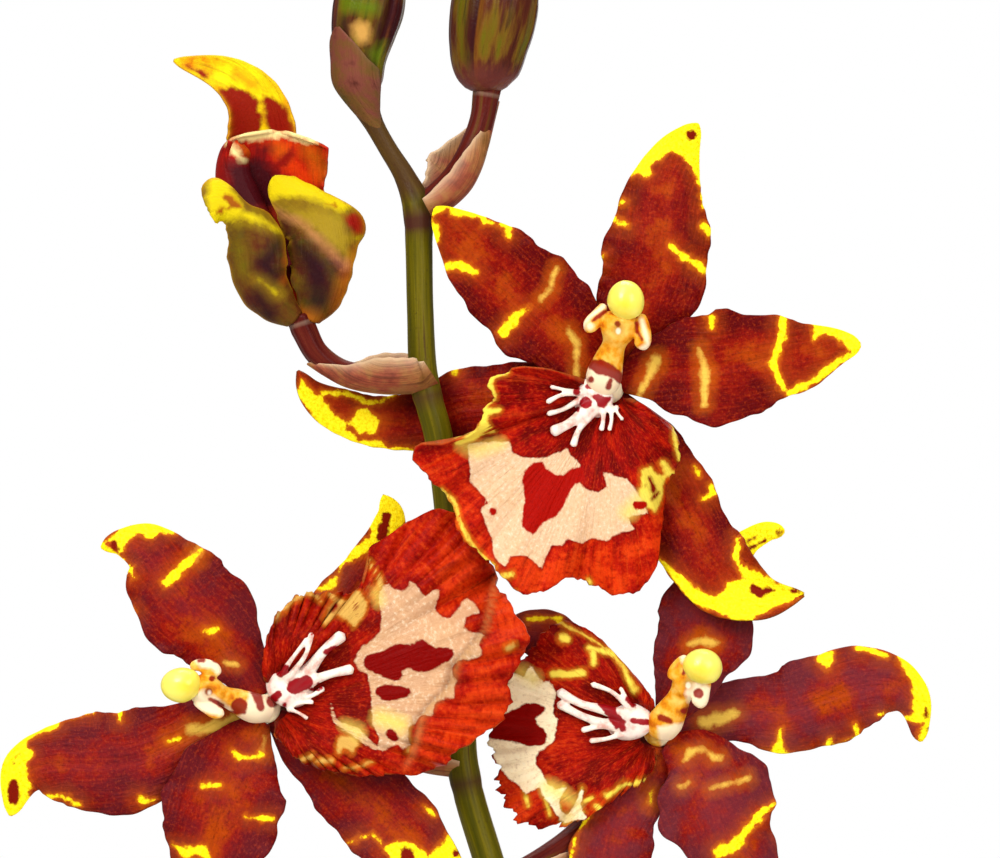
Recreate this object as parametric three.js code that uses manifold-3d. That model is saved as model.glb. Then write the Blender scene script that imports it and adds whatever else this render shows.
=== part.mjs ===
// A potted colmanara orchid: a glazed pot filled with bark chips, three ridged pseudobulbs with strap leaves,
// and one flower stem that carries three open blooms, one opening bud and two closed buds.
// Units are millimetres. +Z is up, +X is the viewer's right, and the blooms face the viewer, along -Y.
// The origin is the centre of the pot's flat foot.
import * as THREE from "three";
import Module from "manifold-3d";
import { mergeVertices } from "three/addons/utils/BufferGeometryUtils.js";

const wasm = await Module();
wasm.setup();

// Driving dimensions
const CLEARANCE = 0.35;
const POT = {
  sides: 36, foot: 42, footBevel: 1.5, shoulder: 56.5, collar: 12, rim: 60, height: 106, wall: 4.2, floor: 5,
};
const BARK = { sides: 24, top: 90, crown: 3, chips: 22, chipLength: 22, chipSpread: 40 };
const TEPAL = { thickness: 0.7, across: 4, along: 10 };
const LIP = { thickness: 0.8, across: 30, along: 3, innerRadius: 2.9 };
const LEAF = { thickness: 1.0, across: 2, along: 13 };
const BRACT = { thickness: 0.6, across: 4, along: 5 };
const FRONT = [0, -1, 0];
const BACK = [0, 1, 0];

// Where each open bloom's parts meet: the bloom's heart
const HEARTS = { bloom_1: [14.25, -1, 470.5], bloom_2: [-37.05, -4, 422.8], bloom_3: [22.05, 6, 418.75] };
const OPENING_BUD = [-31.95, -1, 480.4];

// The flower stem, from its root among the bark to the foot of the last bud: x, y, z, radius
const STEM = [
  [25, -8, 83, 3.4], [27, -6.5, 112, 3.3], [26.5, -5, 165, 3.1], [23.5, -3, 230, 2.9],
  [17.5, -1.5, 295, 2.7], [9, -0.5, 350, 2.5], [-1, 0, 390, 2.4], [-4.1, 0, 400, 2.3],
  [-7.6, 0, 412.5, 2.3], [-8.3, 0, 424, 2.25], [-9.1, 0, 438, 2.2], [-9.9, 0, 452, 2.2],
  [-11.5, 0, 463.3, 2.15], [-13.6, 0, 471.5, 2.15], [-14.2, 0, 482, 2], [-14.4, 0, 492, 2.05],
  [-14.6, 0, 497.5, 2.2], [-16.6, 0, 502.4, 1.6], [-19, 0, 506.3, 1.4], [-21.2, 0, 510.2, 1.4],
  [-22.1, 0, 512.3, 1.9],
];

// Flower stalks with the ovary at their far end: x, y, z, radius
const STALKS = {
  bloom_1: [
    [-10.5, 0, 451.6, 1.5], [-3, 2.4, 452.6, 1.6], [4, 5.2, 458.2, 1.8], [11, 5.2, 466.6, 2],
    [14, 2.8, 470.2, 2.1], [14.25, -0.25, 470.5, 2.1],
  ],
  bloom_2: [
    [-7.6, 0, 415.2, 1.5], [-14, 3, 415.8, 1.6], [-24, 4.2, 418.6, 1.8], [-33, 2.6, 422, 2],
    [-36.6, -0.6, 422.8, 2.1], [-37.05, -3.25, 422.8, 2.1],
  ],
  bloom_3: [
    [-2.8, 0, 396.2, 1.5], [4, 4, 399.6, 1.6], [10.5, 8.6, 404, 1.8], [17.5, 11.8, 411.2, 2],
    [21.6, 10.4, 418, 2.1], [22.05, 6.75, 418.75, 2.1],
  ],
  opening_bud: [
    [-14.6, 0, 472.9, 1.6], [-21, -0.3, 472.6, 1.6], [-26, -0.6, 473.1, 1.7], [-29.6, -1, 475.6, 1.8],
    [-31.6, -1, 479.2, 1.9], [-31.9, -1, 480.1, 1.9],
  ],
  upper_bud: [
    [-14.2, 0, 497.6, 1.6], [-11, 0, 501.3, 1.7], [-8.6, 0, 504.4, 1.8], [-6.6, 0, 507.8, 1.8],
    [-5.2, 0, 511, 1.8], [-4.35, 0, 514.4, 1.9],
  ],
};

// Boat-shaped bracts, one under each stalk: x, y, z of the keel, half widths left and right of it
const BRACTS = {
  bract_bloom_1: { facing: [-0.3, 0, 1], rows: [
    [-9.4, 0.4, 448.6, 3.6, 3.6], [-4, 2, 448.7, 4.2, 4.2], [0.5, 4, 450.9, 3.6, 3.6],
    [4.6, 6.4, 455, 0.5, 0.5]] },
  bract_bloom_2: { facing: [0.2, 0, 1], rows: [
    [-7.8, 0.2, 412.2, 3.8, 3.8], [-13, 1.8, 412.8, 4.4, 4.4], [-17.5, 3.2, 414, 3.6, 3.6],
    [-21.4, 4.4, 416, 0.5, 0.5]] },
  bract_bloom_3: { facing: [-0.5, 0, 1], rows: [
    [-1.6, 0.6, 392.6, 3.8, 3.8], [3.4, 3.6, 395.6, 4.4, 4.4], [8.2, 8, 398.6, 3.4, 3.4],
    [13, 12, 403.2, 0.5, 0.5]] },
  bract_opening_bud: { facing: [0, 0, 1], rows: [
    [-13.2, -0.2, 470, 4.4, 4.4], [-17.2, -0.3, 469.9, 5.2, 5.2], [-21.4, -0.4, 470, 5.2, 5.2],
    [-25.6, -0.6, 470.7, 4, 4], [-28.7, -0.9, 472.4, 2.2, 2.2], [-30.4, -1, 474, 0.5, 0.5]] },
  bract_upper_bud: { facing: [-1, 0, 1], rows: [
    [-13.2, 0, 496.6, 4, 4], [-9.9, 0, 498.4, 5, 5], [-6.9, 0, 501.2, 5, 5],
    [-4.6, 0, 505, 3.6, 3.6], [-3.5, 0, 509.6, 0.5, 0.5]] },
  bract_last_bud: { facing: [1, 0, 0.1], rows: [
    [-22.6, 0, 511.6, 2, 2], [-25.6, -0.4, 514.4, 5, 5], [-27.4, -0.8, 518.6, 6, 6],
    [-28.2, -1, 522.2, 4, 4], [-28.6, -1, 525, 0.5, 0.5]] },
};
// Sheaths that hug the stem between the leaves and the blooms: height of the foot, and side of the stem
const STEM_SHEATHS = { sheath_low: [185, 1], sheath_high: [288, -1] };

// Sepals and petals of the open blooms. Each row is measured from the bloom's heart: right, up, towards
// the viewer, then the half widths left and right of the midline, looking from root to tip.
const SEPAL_BEND = [-0.1, -0.25, -0.2];
const PETAL_BEND = [0.1, 0.12, -0.2];
const TEPALS = {
  bloom_1_dorsal_sepal: { bend: SEPAL_BEND, wave: [0.5, 2.6, 0.4], rows: [
    [0.9, 1.4, 0, 1.6, 1.6], [4.2, 10.5, 0.2, 6.4, 6.6], [6.4, 17, 0.3, 8, 8], [7.4, 23, 0.2, 7.7, 7.7],
    [8.6, 30.5, -0.8, 5.6, 5.4], [10.6, 35.4, -1.4, 3.7, 3.2], [13.2, 39.6, -0.2, 0.9, 0.7]] },
  bloom_1_left_petal: { bend: PETAL_BEND, wave: [0.6, 3, 1.2], rows: [
    [-1.2, 1.5, 1.1, 1.6, 1.6], [-4.8, 6.3, 1.5, 5.4, 5.4], [-10.2, 11.2, 2, 8, 8],
    [-14.1, 14.9, 2.3, 7.4, 7.4], [-18.7, 19.3, 2.6, 6.5, 6.3], [-22.3, 22.8, 2.9, 4.3, 4.1],
    [-24.8, 25.3, 3.2, 2.4, 2.2], [-26.2, 26.9, 3.4, 0.8, 0.8]] },
  bloom_1_right_petal: { bend: PETAL_BEND, wave: [0.7, 2.8, 0], rows: [
    [1.5, 0.6, 1.1, 1.5, 1.5], [6, 2.3, 1.6, 4.9, 4.9], [10.5, 2.7, 2, 7.2, 7.2],
    [16.8, 3.1, 2.3, 8.5, 8.6], [23.2, 4.3, 2.2, 6.8, 6.8], [28.5, 4.9, 1.8, 5.2, 5.3],
    [33.8, 6.1, 1.6, 2.9, 2.9], [37.4, 6.4, 2.2, 1, 1]] },
  bloom_1_left_sepal: { bend: [-0.1, -0.2, 0.5], wave: [0.5, 3, 2], rows: [
    [-1.6, -0.8, 0, 1.6, 1.6], [-9, -1.6, -2.6, 5, 5], [-16.5, -2.2, -4.4, 6, 6],
    [-22.5, -2.8, -6, 5.6, 5.4], [-30, -5.2, -6.8, 4.4, 4.4], [-36, -4.8, -6, 3.8, 3.8],
    [-41.3, -3, -4.4, 3.4, 3.2], [-44.8, -0.6, -2.6, 2.2, 2], [-46.8, 2.5, -1, 0.6, 0.6]] },
  bloom_1_right_sepal: { bend: [-0.1, -0.1, 1.1], wave: [0.7, 2.6, 1.5], rows: [
    [0.9, -1.4, 0, 1.6, 1.6], [4.5, -7.8, -1.4, 5, 5], [8.7, -14.5, -2.4, 6, 6],
    [12, -20.5, -2.4, 5.6, 6.2], [14.6, -25.5, -1.6, 6, 6.4], [18.5, -29.2, -0.6, 5.4, 5.8],
    [23.3, -31.2, 0.8, 3.4, 3.8], [28.9, -30.9, 2, 0.6, 0.6]] },
  bloom_2_dorsal_sepal: { bend: SEPAL_BEND, wave: [0.5, 2.4, 0.8], rows: [
    [-1.6, -0.4, 0, 1.6, 1.6], [-6.9, -1.9, 0.1, 3.6, 4], [-13.2, -5.2, 0.4, 6.1, 6.1],
    [-19.2, -7.6, 0.8, 7.5, 7.5], [-25.2, -8.4, 1, 7.6, 7.6], [-31.2, -8.3, 0.6, 6, 6],
    [-36.2, -10, -0.2, 3.6, 3.8], [-38.4, -16.2, -1.6, 0.8, 0.8]] },
  bloom_2_upper_petal: { bend: PETAL_BEND, wave: [0.6, 2.6, 0.3], rows: [
    [-0.7, 1.8, 1.1, 1.6, 1.6], [-4.6, 7.6, 1.5, 4.8, 4.8], [-8, 12.4, 1.9, 7.3, 7.3],
    [-12, 16.2, 2.2, 7.8, 7.8], [-15.4, 20.6, 2.2, 6.3, 6.4], [-18.3, 23.8, 1.8, 4, 4],
    [-21.9, 24.6, 1.2, 2, 2], [-24.6, 23.9, 0.8, 0.7, 0.7]] },
  bloom_2_lower_petal: { bend: PETAL_BEND, wave: [0.7, 2.8, 2.1], rows: [
    [-0.9, -1.8, 1.1, 1.6, 1.6], [-3.2, -5.8, 1.6, 5.1, 5.1], [-5.2, -10.3, 2.2, 8.2, 8.2],
    [-6.5, -14.9, 2.6, 9, 9], [-7.7, -19.3, 2.6, 8, 8], [-9.6, -24, 2, 5.2, 5.2],
    [-11.3, -27.6, 1.2, 2.8, 2.8], [-12.8, -30.3, 0.4, 0.7, 0.7]] },
  bloom_2_upper_sepal: { bend: SEPAL_BEND, wave: [0.4, 2.4, 1], rows: [
    [1.1, 1.6, 0, 1.6, 1.6], [5.6, 7.6, -1.2, 4, 4], [9.6, 12.6, -2.2, 4.8, 4.8],
    [13, 17, -2.6, 4.6, 4.6], [15.9, 21.2, -2.4, 3.9, 3.8], [17.8, 25.6, -1.6, 2.9, 2.8],
    [18.4, 29, -0.6, 2, 2], [17.4, 31.7, 0.4, 0.6, 0.6]] },
  bloom_2_lower_sepal: { bend: [-0.1, 0.1, 0.6], wave: [0.6, 2.6, 0.5], rows: [
    [1.2, -1.4, 0, 1.6, 1.6], [5.6, -5.8, -0.6, 4, 4], [10, -9.6, -0.6, 5.2, 5.2],
    [14.1, -13.4, 0, 6.6, 6.4], [18.6, -17.4, 0.8, 6.8, 6.6], [22.8, -21.3, 1.6, 5.6, 5.4],
    [27, -24.6, 2.4, 3.4, 3.2], [29.6, -26.6, 3, 0.7, 0.7]] },
  bloom_3_dorsal_sepal: { bend: SEPAL_BEND, wave: [0.5, 2.4, 1.6], rows: [
    [1.7, 0.4, 0, 1.6, 1.6], [7.2, 2.2, 0.1, 3.8, 3.8], [13.2, 3, 0.4, 5, 5], [19.2, 3, 0.8, 6.6, 6.6],
    [24.5, 4.7, 1, 7, 7], [29.7, 6.4, 0.8, 6.4, 6.4], [34.9, 6.6, 0.2, 4.8, 4.6],
    [38.2, 4.2, -0.6, 2.9, 2.6], [39.5, -1.7, -1.8, 0.9, 0.9]] },
  bloom_3_upper_petal: { bend: PETAL_BEND, wave: [0.5, 2.4, 0.9], rows: [
    [0.6, 1.8, 1.1, 1.6, 1.6], [2.9, 6, 1.5, 4.3, 4.3], [4.8, 11, 1.9, 6.1, 6.1],
    [6.6, 15.5, 2.2, 7.5, 7.5], [7.8, 20, 2.2, 6.6, 6.2], [9.9, 24.4, 1.6, 4, 3.6],
    [12.6, 28, 0.8, 2.2, 2], [15.9, 30, 0.2, 1.6, 1.5], [18.7, 30.2, 0.6, 0.9, 0.9]] },
  bloom_3_lower_petal: { bend: PETAL_BEND, wave: [0.7, 2.8, 2.8], rows: [
    [0.9, -1.7, 1.1, 1.6, 1.6], [4.4, -4, 1.6, 5.2, 5.2], [6.7, -7.6, 2.2, 8.2, 8.2],
    [8.4, -11.2, 2.6, 9.2, 9.2], [10.4, -15.7, 2.6, 7.2, 7.2], [13.3, -19.6, 2, 4.8, 4.8],
    [15.9, -23.6, 1.2, 2.7, 2.7], [17.7, -26.9, 0.4, 0.7, 0.7]] },
  bloom_3_upper_sepal: { bend: SEPAL_BEND, wave: [0.4, 2.2, 0.2], rows: [
    [-1.2, 1.6, 0, 1.6, 1.6], [-5.5, 6.4, -0.8, 4, 4], [-9.6, 9.8, -1.4, 5, 5],
    [-13.8, 12.6, -1.8, 5, 5], [-17.5, 14.4, -1.8, 4.2, 4.2], [-21, 14.8, -1.2, 3, 3],
    [-24.6, 13.6, -0.4, 0.7, 0.7]] },
  bloom_3_lower_sepal: { bend: SEPAL_BEND, wave: [0.5, 2.4, 1.1], rows: [
    [-0.4, -1.6, 0, 1.6, 1.6], [-1.8, -6.2, 0.8, 3.8, 3.8], [-4.2, -10, 1.6, 4.8, 4.8],
    [-6.3, -14, 2.4, 5.4, 5.4], [-7.6, -18.8, 2.6, 6.3, 6.3], [-8.9, -23.3, 2.4, 5.2, 5.2],
    [-10.4, -27.3, 1.8, 3, 3], [-11.8, -30.7, 1, 0.7, 0.7]] },
};

// Lips spread as fans from a root beside the heart. The outline is angle in degrees, counterclockwise from
// the viewer's right, and radius. Tilt is the rise towards the viewer for each millimetre right and up.
const LIPS = {
  bloom_1: { root: [-0.4, -0.4, 2.3], reach: 4.2, tilt: [-0.33, 0.02], ruffles: [0.8, 11, 0.6], outline: [
    [160, 8], [166, 15], [173, 18], [184, 18.5], [191, 22], [197, 29], [204, 29.3], [213, 27.8],
    [222, 28.6], [231, 30.3], [241, 30.9], [250, 32.2], [257, 28.6], [264, 28.4], [272, 30.6],
    [280, 29.4], [288, 26.8], [294, 21.5], [300, 19], [308, 17], [316, 15.6], [324, 13.2],
    [332, 9.8], [338, 5.5]] },
  bloom_2: { root: [0.7, 0.5, 2.3], reach: 4.4, tilt: [0.01, -0.09], ruffles: [0.8, 11, 0.2], outline: [
    [100, 6], [92, 10], [84, 13.2], [74, 16.6], [66, 18.4], [60, 22], [55, 31.5], [48, 37.4],
    [41, 38.6], [34, 37.8], [27, 38.4], [20, 39], [13, 38.6], [6, 36.8], [-1, 33.6], [-9, 30],
    [-18, 27], [-26, 23.6], [-34, 18.4], [-44, 15], [-54, 12], [-64, 9.6], [-74, 6.5], [-80, 4.6]] },
  bloom_3: { root: [-0.7, 0, 2.3], reach: 4, tilt: [0, 0.02], ruffles: [0.8, 9, 1], outline: [
    [98, 5], [106, 8.6], [113, 12.8], [121, 17], [129, 20.6], [139, 21.8], [150, 22.6], [162, 23.4],
    [174, 25.2], [184, 24.8], [194, 24.8], [203, 25], [211, 24.8], [219, 22.4], [226, 19.4],
    [232, 15], [240, 10.4], [250, 7.8], [260, 6], [266, 4.4]] },
};

// The white callus: a swelling near the lip's root, whose fingers stand a little over the lip. Angles are in
// degrees, and each finger has its length from the root.
const CALLUS = {
  bloom_1: { angle: 232, fingers: [[178, 9.4], [199, 9.8], [220, 11.4], [243, 11.6], [266, 8.8]] },
  bloom_2: { angle: 22, fingers: [[66, 11.6], [44, 13.2], [24, 12], [-6, 9.6], [-34, 8.4]] },
  bloom_3: { angle: 176, fingers: [[130, 9], [152, 12.6], [170, 14.4], [194, 12], [216, 8.6]] },
};
const CALLUS_SWELLING = { out: 5, radii: [2.9, 1.5, 2.9] };
const FINGER = { radii: [1, 0.9, 0.6], heights: [1, 1.75, 1.35] };

// Columns from the heart to the anther cap: right, up, towards the viewer, radius
const COLUMNS = {
  bloom_1: { cap: [2.5, 13.1, 9.4], capSize: [2.8, 2.4, 3.1], wings: [[-1.6, 9.6, 8], [4.5, 8.4, 8]], rows: [
    [-0.2, -0.4, 2.5, 1.7], [0.1, 1.4, 3.9, 2.3], [0.7, 4.6, 5.2, 2.2], [1.3, 7.2, 6.6, 2],
    [1.9, 9.6, 7.6, 2.6], [2.4, 11.8, 8.2, 2.4]] },
  bloom_2: { cap: [-11.9, 3.8, 9.4], capSize: [3.2, 2.4, 2.6], wings: [[-8.4, 6.2, 8.2], [-7.2, 0.9, 8.2]], rows: [
    [0.5, -0.1, 2.5, 1.7], [-1.5, 0.5, 3.9, 2.3], [-4.2, 1.4, 5.2, 2.3], [-6.4, 2.1, 6.6, 2.1],
    [-8.8, 2.9, 7.6, 2.6], [-10.7, 3.4, 8.2, 2.4]] },
  bloom_3: { cap: [5.9, 10.2, 9.4], capSize: [3, 2.4, 2.8], wings: [[2.8, 10.2, 8.2], [4.8, 5, 8.2]], rows: [
    [-0.2, -0.4, 2.5, 1.7], [0.7, 1.4, 3.9, 2.3], [1.8, 3.8, 5.2, 2.2], [3, 6.2, 6.6, 2],
    [4.2, 8, 7.6, 2.5], [5.2, 9.4, 8.2, 2.4]] },
};

// Tepals of the opening bud, measured from the bud's foot like those of the blooms
const OPENING_TEPALS = {
  opening_bud_front_left: { facing: BACK, bend: [0.9, 1, 0.4], wave: [0.3, 2, 0], rows: [
    [-0.9, 1, 1.8, 1.6, 1.6], [-2.9, 3.6, 3.6, 4, 4], [-5.4, 8.2, 5, 5.2, 5], [-6.9, 13, 5.2, 5.4, 5],
    [-8.4, 17.2, 5, 4.8, 4.6], [-11, 18.8, 6.2, 3, 3.4], [-13.6, 16.8, 7.2, 0.8, 0.8]] },
  opening_bud_front_right: { facing: BACK, bend: [0.9, 0.9, 0.5], wave: [0.5, 2, 1], rows: [
    [1, 0.9, 1, 1.6, 1.6], [2.8, 3.8, 2.2, 4.2, 4.2], [4.3, 8.6, 2.8, 5.4, 5.6],
    [4.9, 13.4, 2.8, 6.2, 6.4], [3.6, 17.6, 3, 6, 6.2], [0.6, 20.6, 3.8, 3.4, 3.6],
    [-1.4, 21.8, 4.4, 0.8, 0.8]] },
  opening_bud_back: { facing: FRONT, bend: [0.6, 0.8, 0.5], wave: [0.4, 2, 0.5], rows: [
    [-0.6, 1.3, -1.4, 1.6, 1.6], [-3.4, 10, -5, 4.6, 4.6], [-5.4, 18, -6.4, 5.6, 5.6],
    [-6, 24.3, -6, 5.8, 5.8], [-6.2, 29.6, -5, 5.6, 5.7], [-8, 34, -3.6, 4.5, 4.6],
    [-12, 37.2, -2, 2.8, 3], [-19.2, 39.2, -0.4, 0.5, 0.5]] },
  opening_bud_inner: { facing: FRONT, bend: [0.6, 0.9, 0.9], wave: [0.5, 2.5, 1], rows: [
    [0.2, 1.8, -0.2, 1.4, 1.4], [-1.2, 10, -2.4, 4.4, 4.4], [-2.6, 18, -3.2, 7, 7],
    [-3.5, 24, -2.6, 7.6, 7.6], [-4, 28.6, -1.6, 5, 5]] },
};

// Closed buds: x, y, z, radius
const UPPER_BUD = [
  [-4.3, 0, 514.85, 2.2], [-4.3, 0, 517.4, 4.5], [-3.9, 0, 521.8, 5.8], [-3.3, 0, 525.4, 6.25],
  [-2.7, 0, 529, 6.2], [-1.6, 0, 534.2, 4.9], [-0.6, 0, 539, 2.6], [0, 0, 542, 0.7],
];
const LAST_BUD = [
  [-22.4, 0, 512.8, 2.1], [-23.3, 0, 516, 3.4], [-23.3, 0, 519.6, 3.8], [-22.7, 0, 524.2, 4.7],
  [-21.9, 0, 528, 5.1], [-21, 0, 532.4, 4.4], [-19.9, 0, 537, 2.2], [-19.2, 0, 539.8, 0.6],
];

// Pseudobulbs: foot x and y, height above the foot, widest half width
const BULBS = {
  pseudobulb_front: { at: [0, -11], height: 74, half: 19 },
  pseudobulb_left: { at: [-25, 16], height: 65, half: 16.5 },
  pseudobulb_right: { at: [24, 19], height: 58, half: 15.5 },
};
const BULB_FOOT = 82;
const BULB_FLATTEN = 0.6;
const BULB_FORM = [[0, 0.5], [0.12, 0.84], [0.34, 1], [0.6, 0.88], [0.82, 0.52], [0.95, 0.27], [1, 0.2]];

// Strap leaves on the bulbs' tips and sheath leaves at their feet: heading in degrees round the pot, length,
// lean from upright at the root and at the tip, half width
const LEAVES = {
  leaf_front_left: { bulb: "pseudobulb_front", heading: 196, length: 262, lean: [5, 92], half: 17 },
  leaf_front_right: { bulb: "pseudobulb_front", heading: -46, length: 240, lean: [7, 98], half: 16 },
  leaf_left_back: { bulb: "pseudobulb_left", heading: 118, length: 236, lean: [5, 84], half: 15 },
  leaf_right_back: { bulb: "pseudobulb_right", heading: 62, length: 222, lean: [5, 88], half: 14.5 },
};
const SHEATH_LEAVES = {
  sheath_leaf_left: { bulb: "pseudobulb_left", heading: 176, length: 228, lean: [8, 92], half: 14.5 },
  sheath_leaf_right: { bulb: "pseudobulb_right", heading: 8, length: 214, lean: [8, 94], half: 14 },
  sheath_leaf_front: { bulb: "pseudobulb_front", heading: 214, length: 168, lean: [10, 88], half: 13 },
};

// Colour, roughness
const MATERIALS = {
  glaze: [0xe9e4d8, 0.25],
  bark: [0x6b4226, 0.95],
  bulb: [0x7d9440, 0.5],
  leaf: [0x3f6b25, 0.45],
  stem: [0x6f6d1c, 0.5],
  bract: [0xa87a58, 0.65],
  stalk: [0x7a2f22, 0.5],
  tepal: [0x8a1c10, 0.45],
  lip: [0xb4300f, 0.5],
  column: [0xe9a53a, 0.4],
  cap: [0xf6e44a, 0.35],
  bud: [0x6a3a22, 0.5],
  openingBud: [0xa26a1e, 0.5],
};

// A smooth line through rows of numbers. A row starts with its place, and t runs from 0 at the first row to 1
// at the last in step with the distance between the places.
function throughRows(rows) {
  const last = rows.length - 1;
  const knots = [0];
  for (let i = 1; i <= last; i++) {
    const [from, to] = [rows[i - 1], rows[i]];
    knots.push(knots[i - 1] + Math.hypot(to[0] - from[0], to[1] - from[1], to[2] - from[2]));
  }
  const slope = (i, k) => {
    const [low, high] = [Math.max(i - 1, 0), Math.min(i + 1, last)];
    return (rows[high][k] - rows[low][k]) / (knots[high] - knots[low]);
  };
  return (t) => {
    const place = Math.min(Math.max(t, 0), 1) * knots[last];
    let i = 0;
    while (i < last - 1 && knots[i + 1] < place) i++;
    const span = knots[i + 1] - knots[i];
    const u = (place - knots[i]) / span;
    const rise = u * u * (3 - 2 * u);
    const leave = u * (1 - u) * (1 - u) * span;
    const arrive = u * u * (u - 1) * span;
    return rows[i].map((value, k) =>
      value * (1 - rise) + rows[i + 1][k] * rise + slope(i, k) * leave + slope(i + 1, k) * arrive);
  };
}

// The value at t of a smooth run that has the three given values at its root, middle and tip.
function threeStep([root, middle, tip], t) {
  return root * (1 - t) * (1 - 2 * t) + middle * 4 * t * (1 - t) + tip * t * (2 * t - 1);
}

function solidOf(geometry) {
  for (const extra of ["normal", "uv"]) geometry.deleteAttribute(extra);
  const merged = mergeVertices(geometry, 1e-4);
  const points = merged.attributes.position.array;
  const corners = new Uint32Array(merged.index.array);
  let sixVolumes = 0;
  const [a, b, c] = [new THREE.Vector3(), new THREE.Vector3(), new THREE.Vector3()];
  for (let i = 0; i < corners.length; i += 3) {
    a.fromArray(points, corners[i] * 3);
    b.fromArray(points, corners[i + 1] * 3);
    c.fromArray(points, corners[i + 2] * 3);
    sixVolumes += a.dot(b.cross(c));
  }
  if (sixVolumes < 0)
    for (let i = 0; i < corners.length; i += 3)
      [corners[i + 1], corners[i + 2]] = [corners[i + 2], corners[i + 1]];
  return new wasm.Manifold(new wasm.Mesh({ numProp: 3, vertProperties: points, triVerts: corners }));
}

function geometryOf(solid) {
  const mesh = solid.getMesh();
  const geometry = new THREE.BufferGeometry();
  geometry.setAttribute("position", new THREE.BufferAttribute(mesh.vertProperties, 3));
  geometry.setIndex(new THREE.BufferAttribute(mesh.triVerts, 1));
  return geometry;
}

// The largest single body of a solid, so that no loose scrap is left after a cut.
function largestBody(solid) {
  return solid.decompose().sort((a, b) => b.volume() - a.volume())[0];
}

// A thin closed sheet round surface(s, t), with s from -1 to 1 across it and t from 0 to 1 along it.
// Both faces are split into triangles alike.
function sheetSolid(surface, across, along, thickness) {
  const middle = [];
  for (let i = 0; i <= along; i++)
    for (let j = 0; j <= across; j++) middle.push(surface((2 * j) / across - 1, i / along));
  const at = (i, j) => middle[i * (across + 1) + j];
  const half = middle.length;
  const positions = new Float32Array(half * 6);
  for (let i = 0; i <= along; i++)
    for (let j = 0; j <= across; j++) {
      const alongStep = at(Math.min(i + 1, along), j).clone().sub(at(Math.max(i - 1, 0), j));
      const acrossStep = at(i, Math.min(j + 1, across)).clone().sub(at(i, Math.max(j - 1, 0)));
      const normal = acrossStep.cross(alongStep).normalize().multiplyScalar(thickness / 2);
      const index = i * (across + 1) + j;
      at(i, j).clone().add(normal).toArray(positions, index * 3);
      at(i, j).clone().sub(normal).toArray(positions, (half + index) * 3);
    }
  const triangles = [];
  const quad = (p, q, r, s) => triangles.push(p, q, r, p, r, s);
  const front = (i, j) => i * (across + 1) + j;
  const back = (i, j) => half + front(i, j);
  for (let i = 0; i < along; i++)
    for (let j = 0; j < across; j++) {
      quad(front(i, j), front(i, j + 1), front(i + 1, j + 1), front(i + 1, j));
      triangles.push(back(i, j), back(i + 1, j + 1), back(i, j + 1));
      triangles.push(back(i, j), back(i + 1, j), back(i + 1, j + 1));
    }
  for (let j = 0; j < across; j++) {
    quad(back(0, j), back(0, j + 1), front(0, j + 1), front(0, j));
    quad(front(along, j), front(along, j + 1), back(along, j + 1), back(along, j));
  }
  for (let i = 0; i < along; i++) {
    quad(front(i, 0), front(i + 1, 0), back(i + 1, 0), back(i, 0));
    quad(back(i, across), back(i + 1, across), front(i + 1, across), front(i, across));
  }
  const geometry = new THREE.BufferGeometry();
  geometry.setAttribute("position", new THREE.BufferAttribute(positions, 3));
  geometry.setIndex(triangles);
  return solidOf(geometry);
}

// The surface of a leaf, petal or bract along its rows. Bend rolls its edges towards the side that it faces,
// fold lifts them in a V, and wave is the height, number and phase of the waves along its edges.
function bladeSurface({ rows, facing = FRONT, bend = [0, 0, 0], fold = [0, 0, 0], wave = [0, 1, 0] }, grow = 0) {
  const along = throughRows(rows);
  const faces = new THREE.Vector3(...facing).normalize();
  const [waveHeight, waveCount, wavePhase] = wave;
  const STEP = 0.02;
  const SCALLOP = 0.045;
  return (s, t) => {
    const [x, y, z, left, right] = along(t);
    const ahead = new THREE.Vector3(...along(t + STEP));
    const tangent = ahead.sub(new THREE.Vector3(...along(t - STEP))).normalize();
    const side = tangent.clone().cross(faces).normalize();
    const normal = side.clone().cross(tangent);
    const turn = 2 * Math.PI * waveCount * t + wavePhase + (s > 0 ? 1.9 : 0);
    const swell = Math.sin(Math.PI * Math.min(1, 1.1 * t));
    const scallop = waveHeight > 0 ? 1 + SCALLOP * swell * Math.sin(1.7 * turn) : 1;
    const half = (s < 0 ? left : right) * scallop + grow;
    const angle = threeStep(bend, t);
    const curled = Math.abs(angle) > 1e-3;
    const across = curled ? (half * Math.sin(angle * s)) / angle : half * s;
    const rolled = curled ? (half * (1 - Math.cos(angle * s))) / angle : 0;
    const ripple = waveHeight * swell * s * s * Math.sin(turn);
    const lift = rolled + ripple + threeStep(fold, t) * half * Math.abs(s);
    return new THREE.Vector3(x, y, z).addScaledVector(side, across).addScaledVector(normal, lift);
  };
}

function bladeSolid(blade, size, grow = 0) {
  return sheetSolid(bladeSurface(blade, grow), size.across, size.along, size.thickness + 2 * grow);
}

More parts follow.
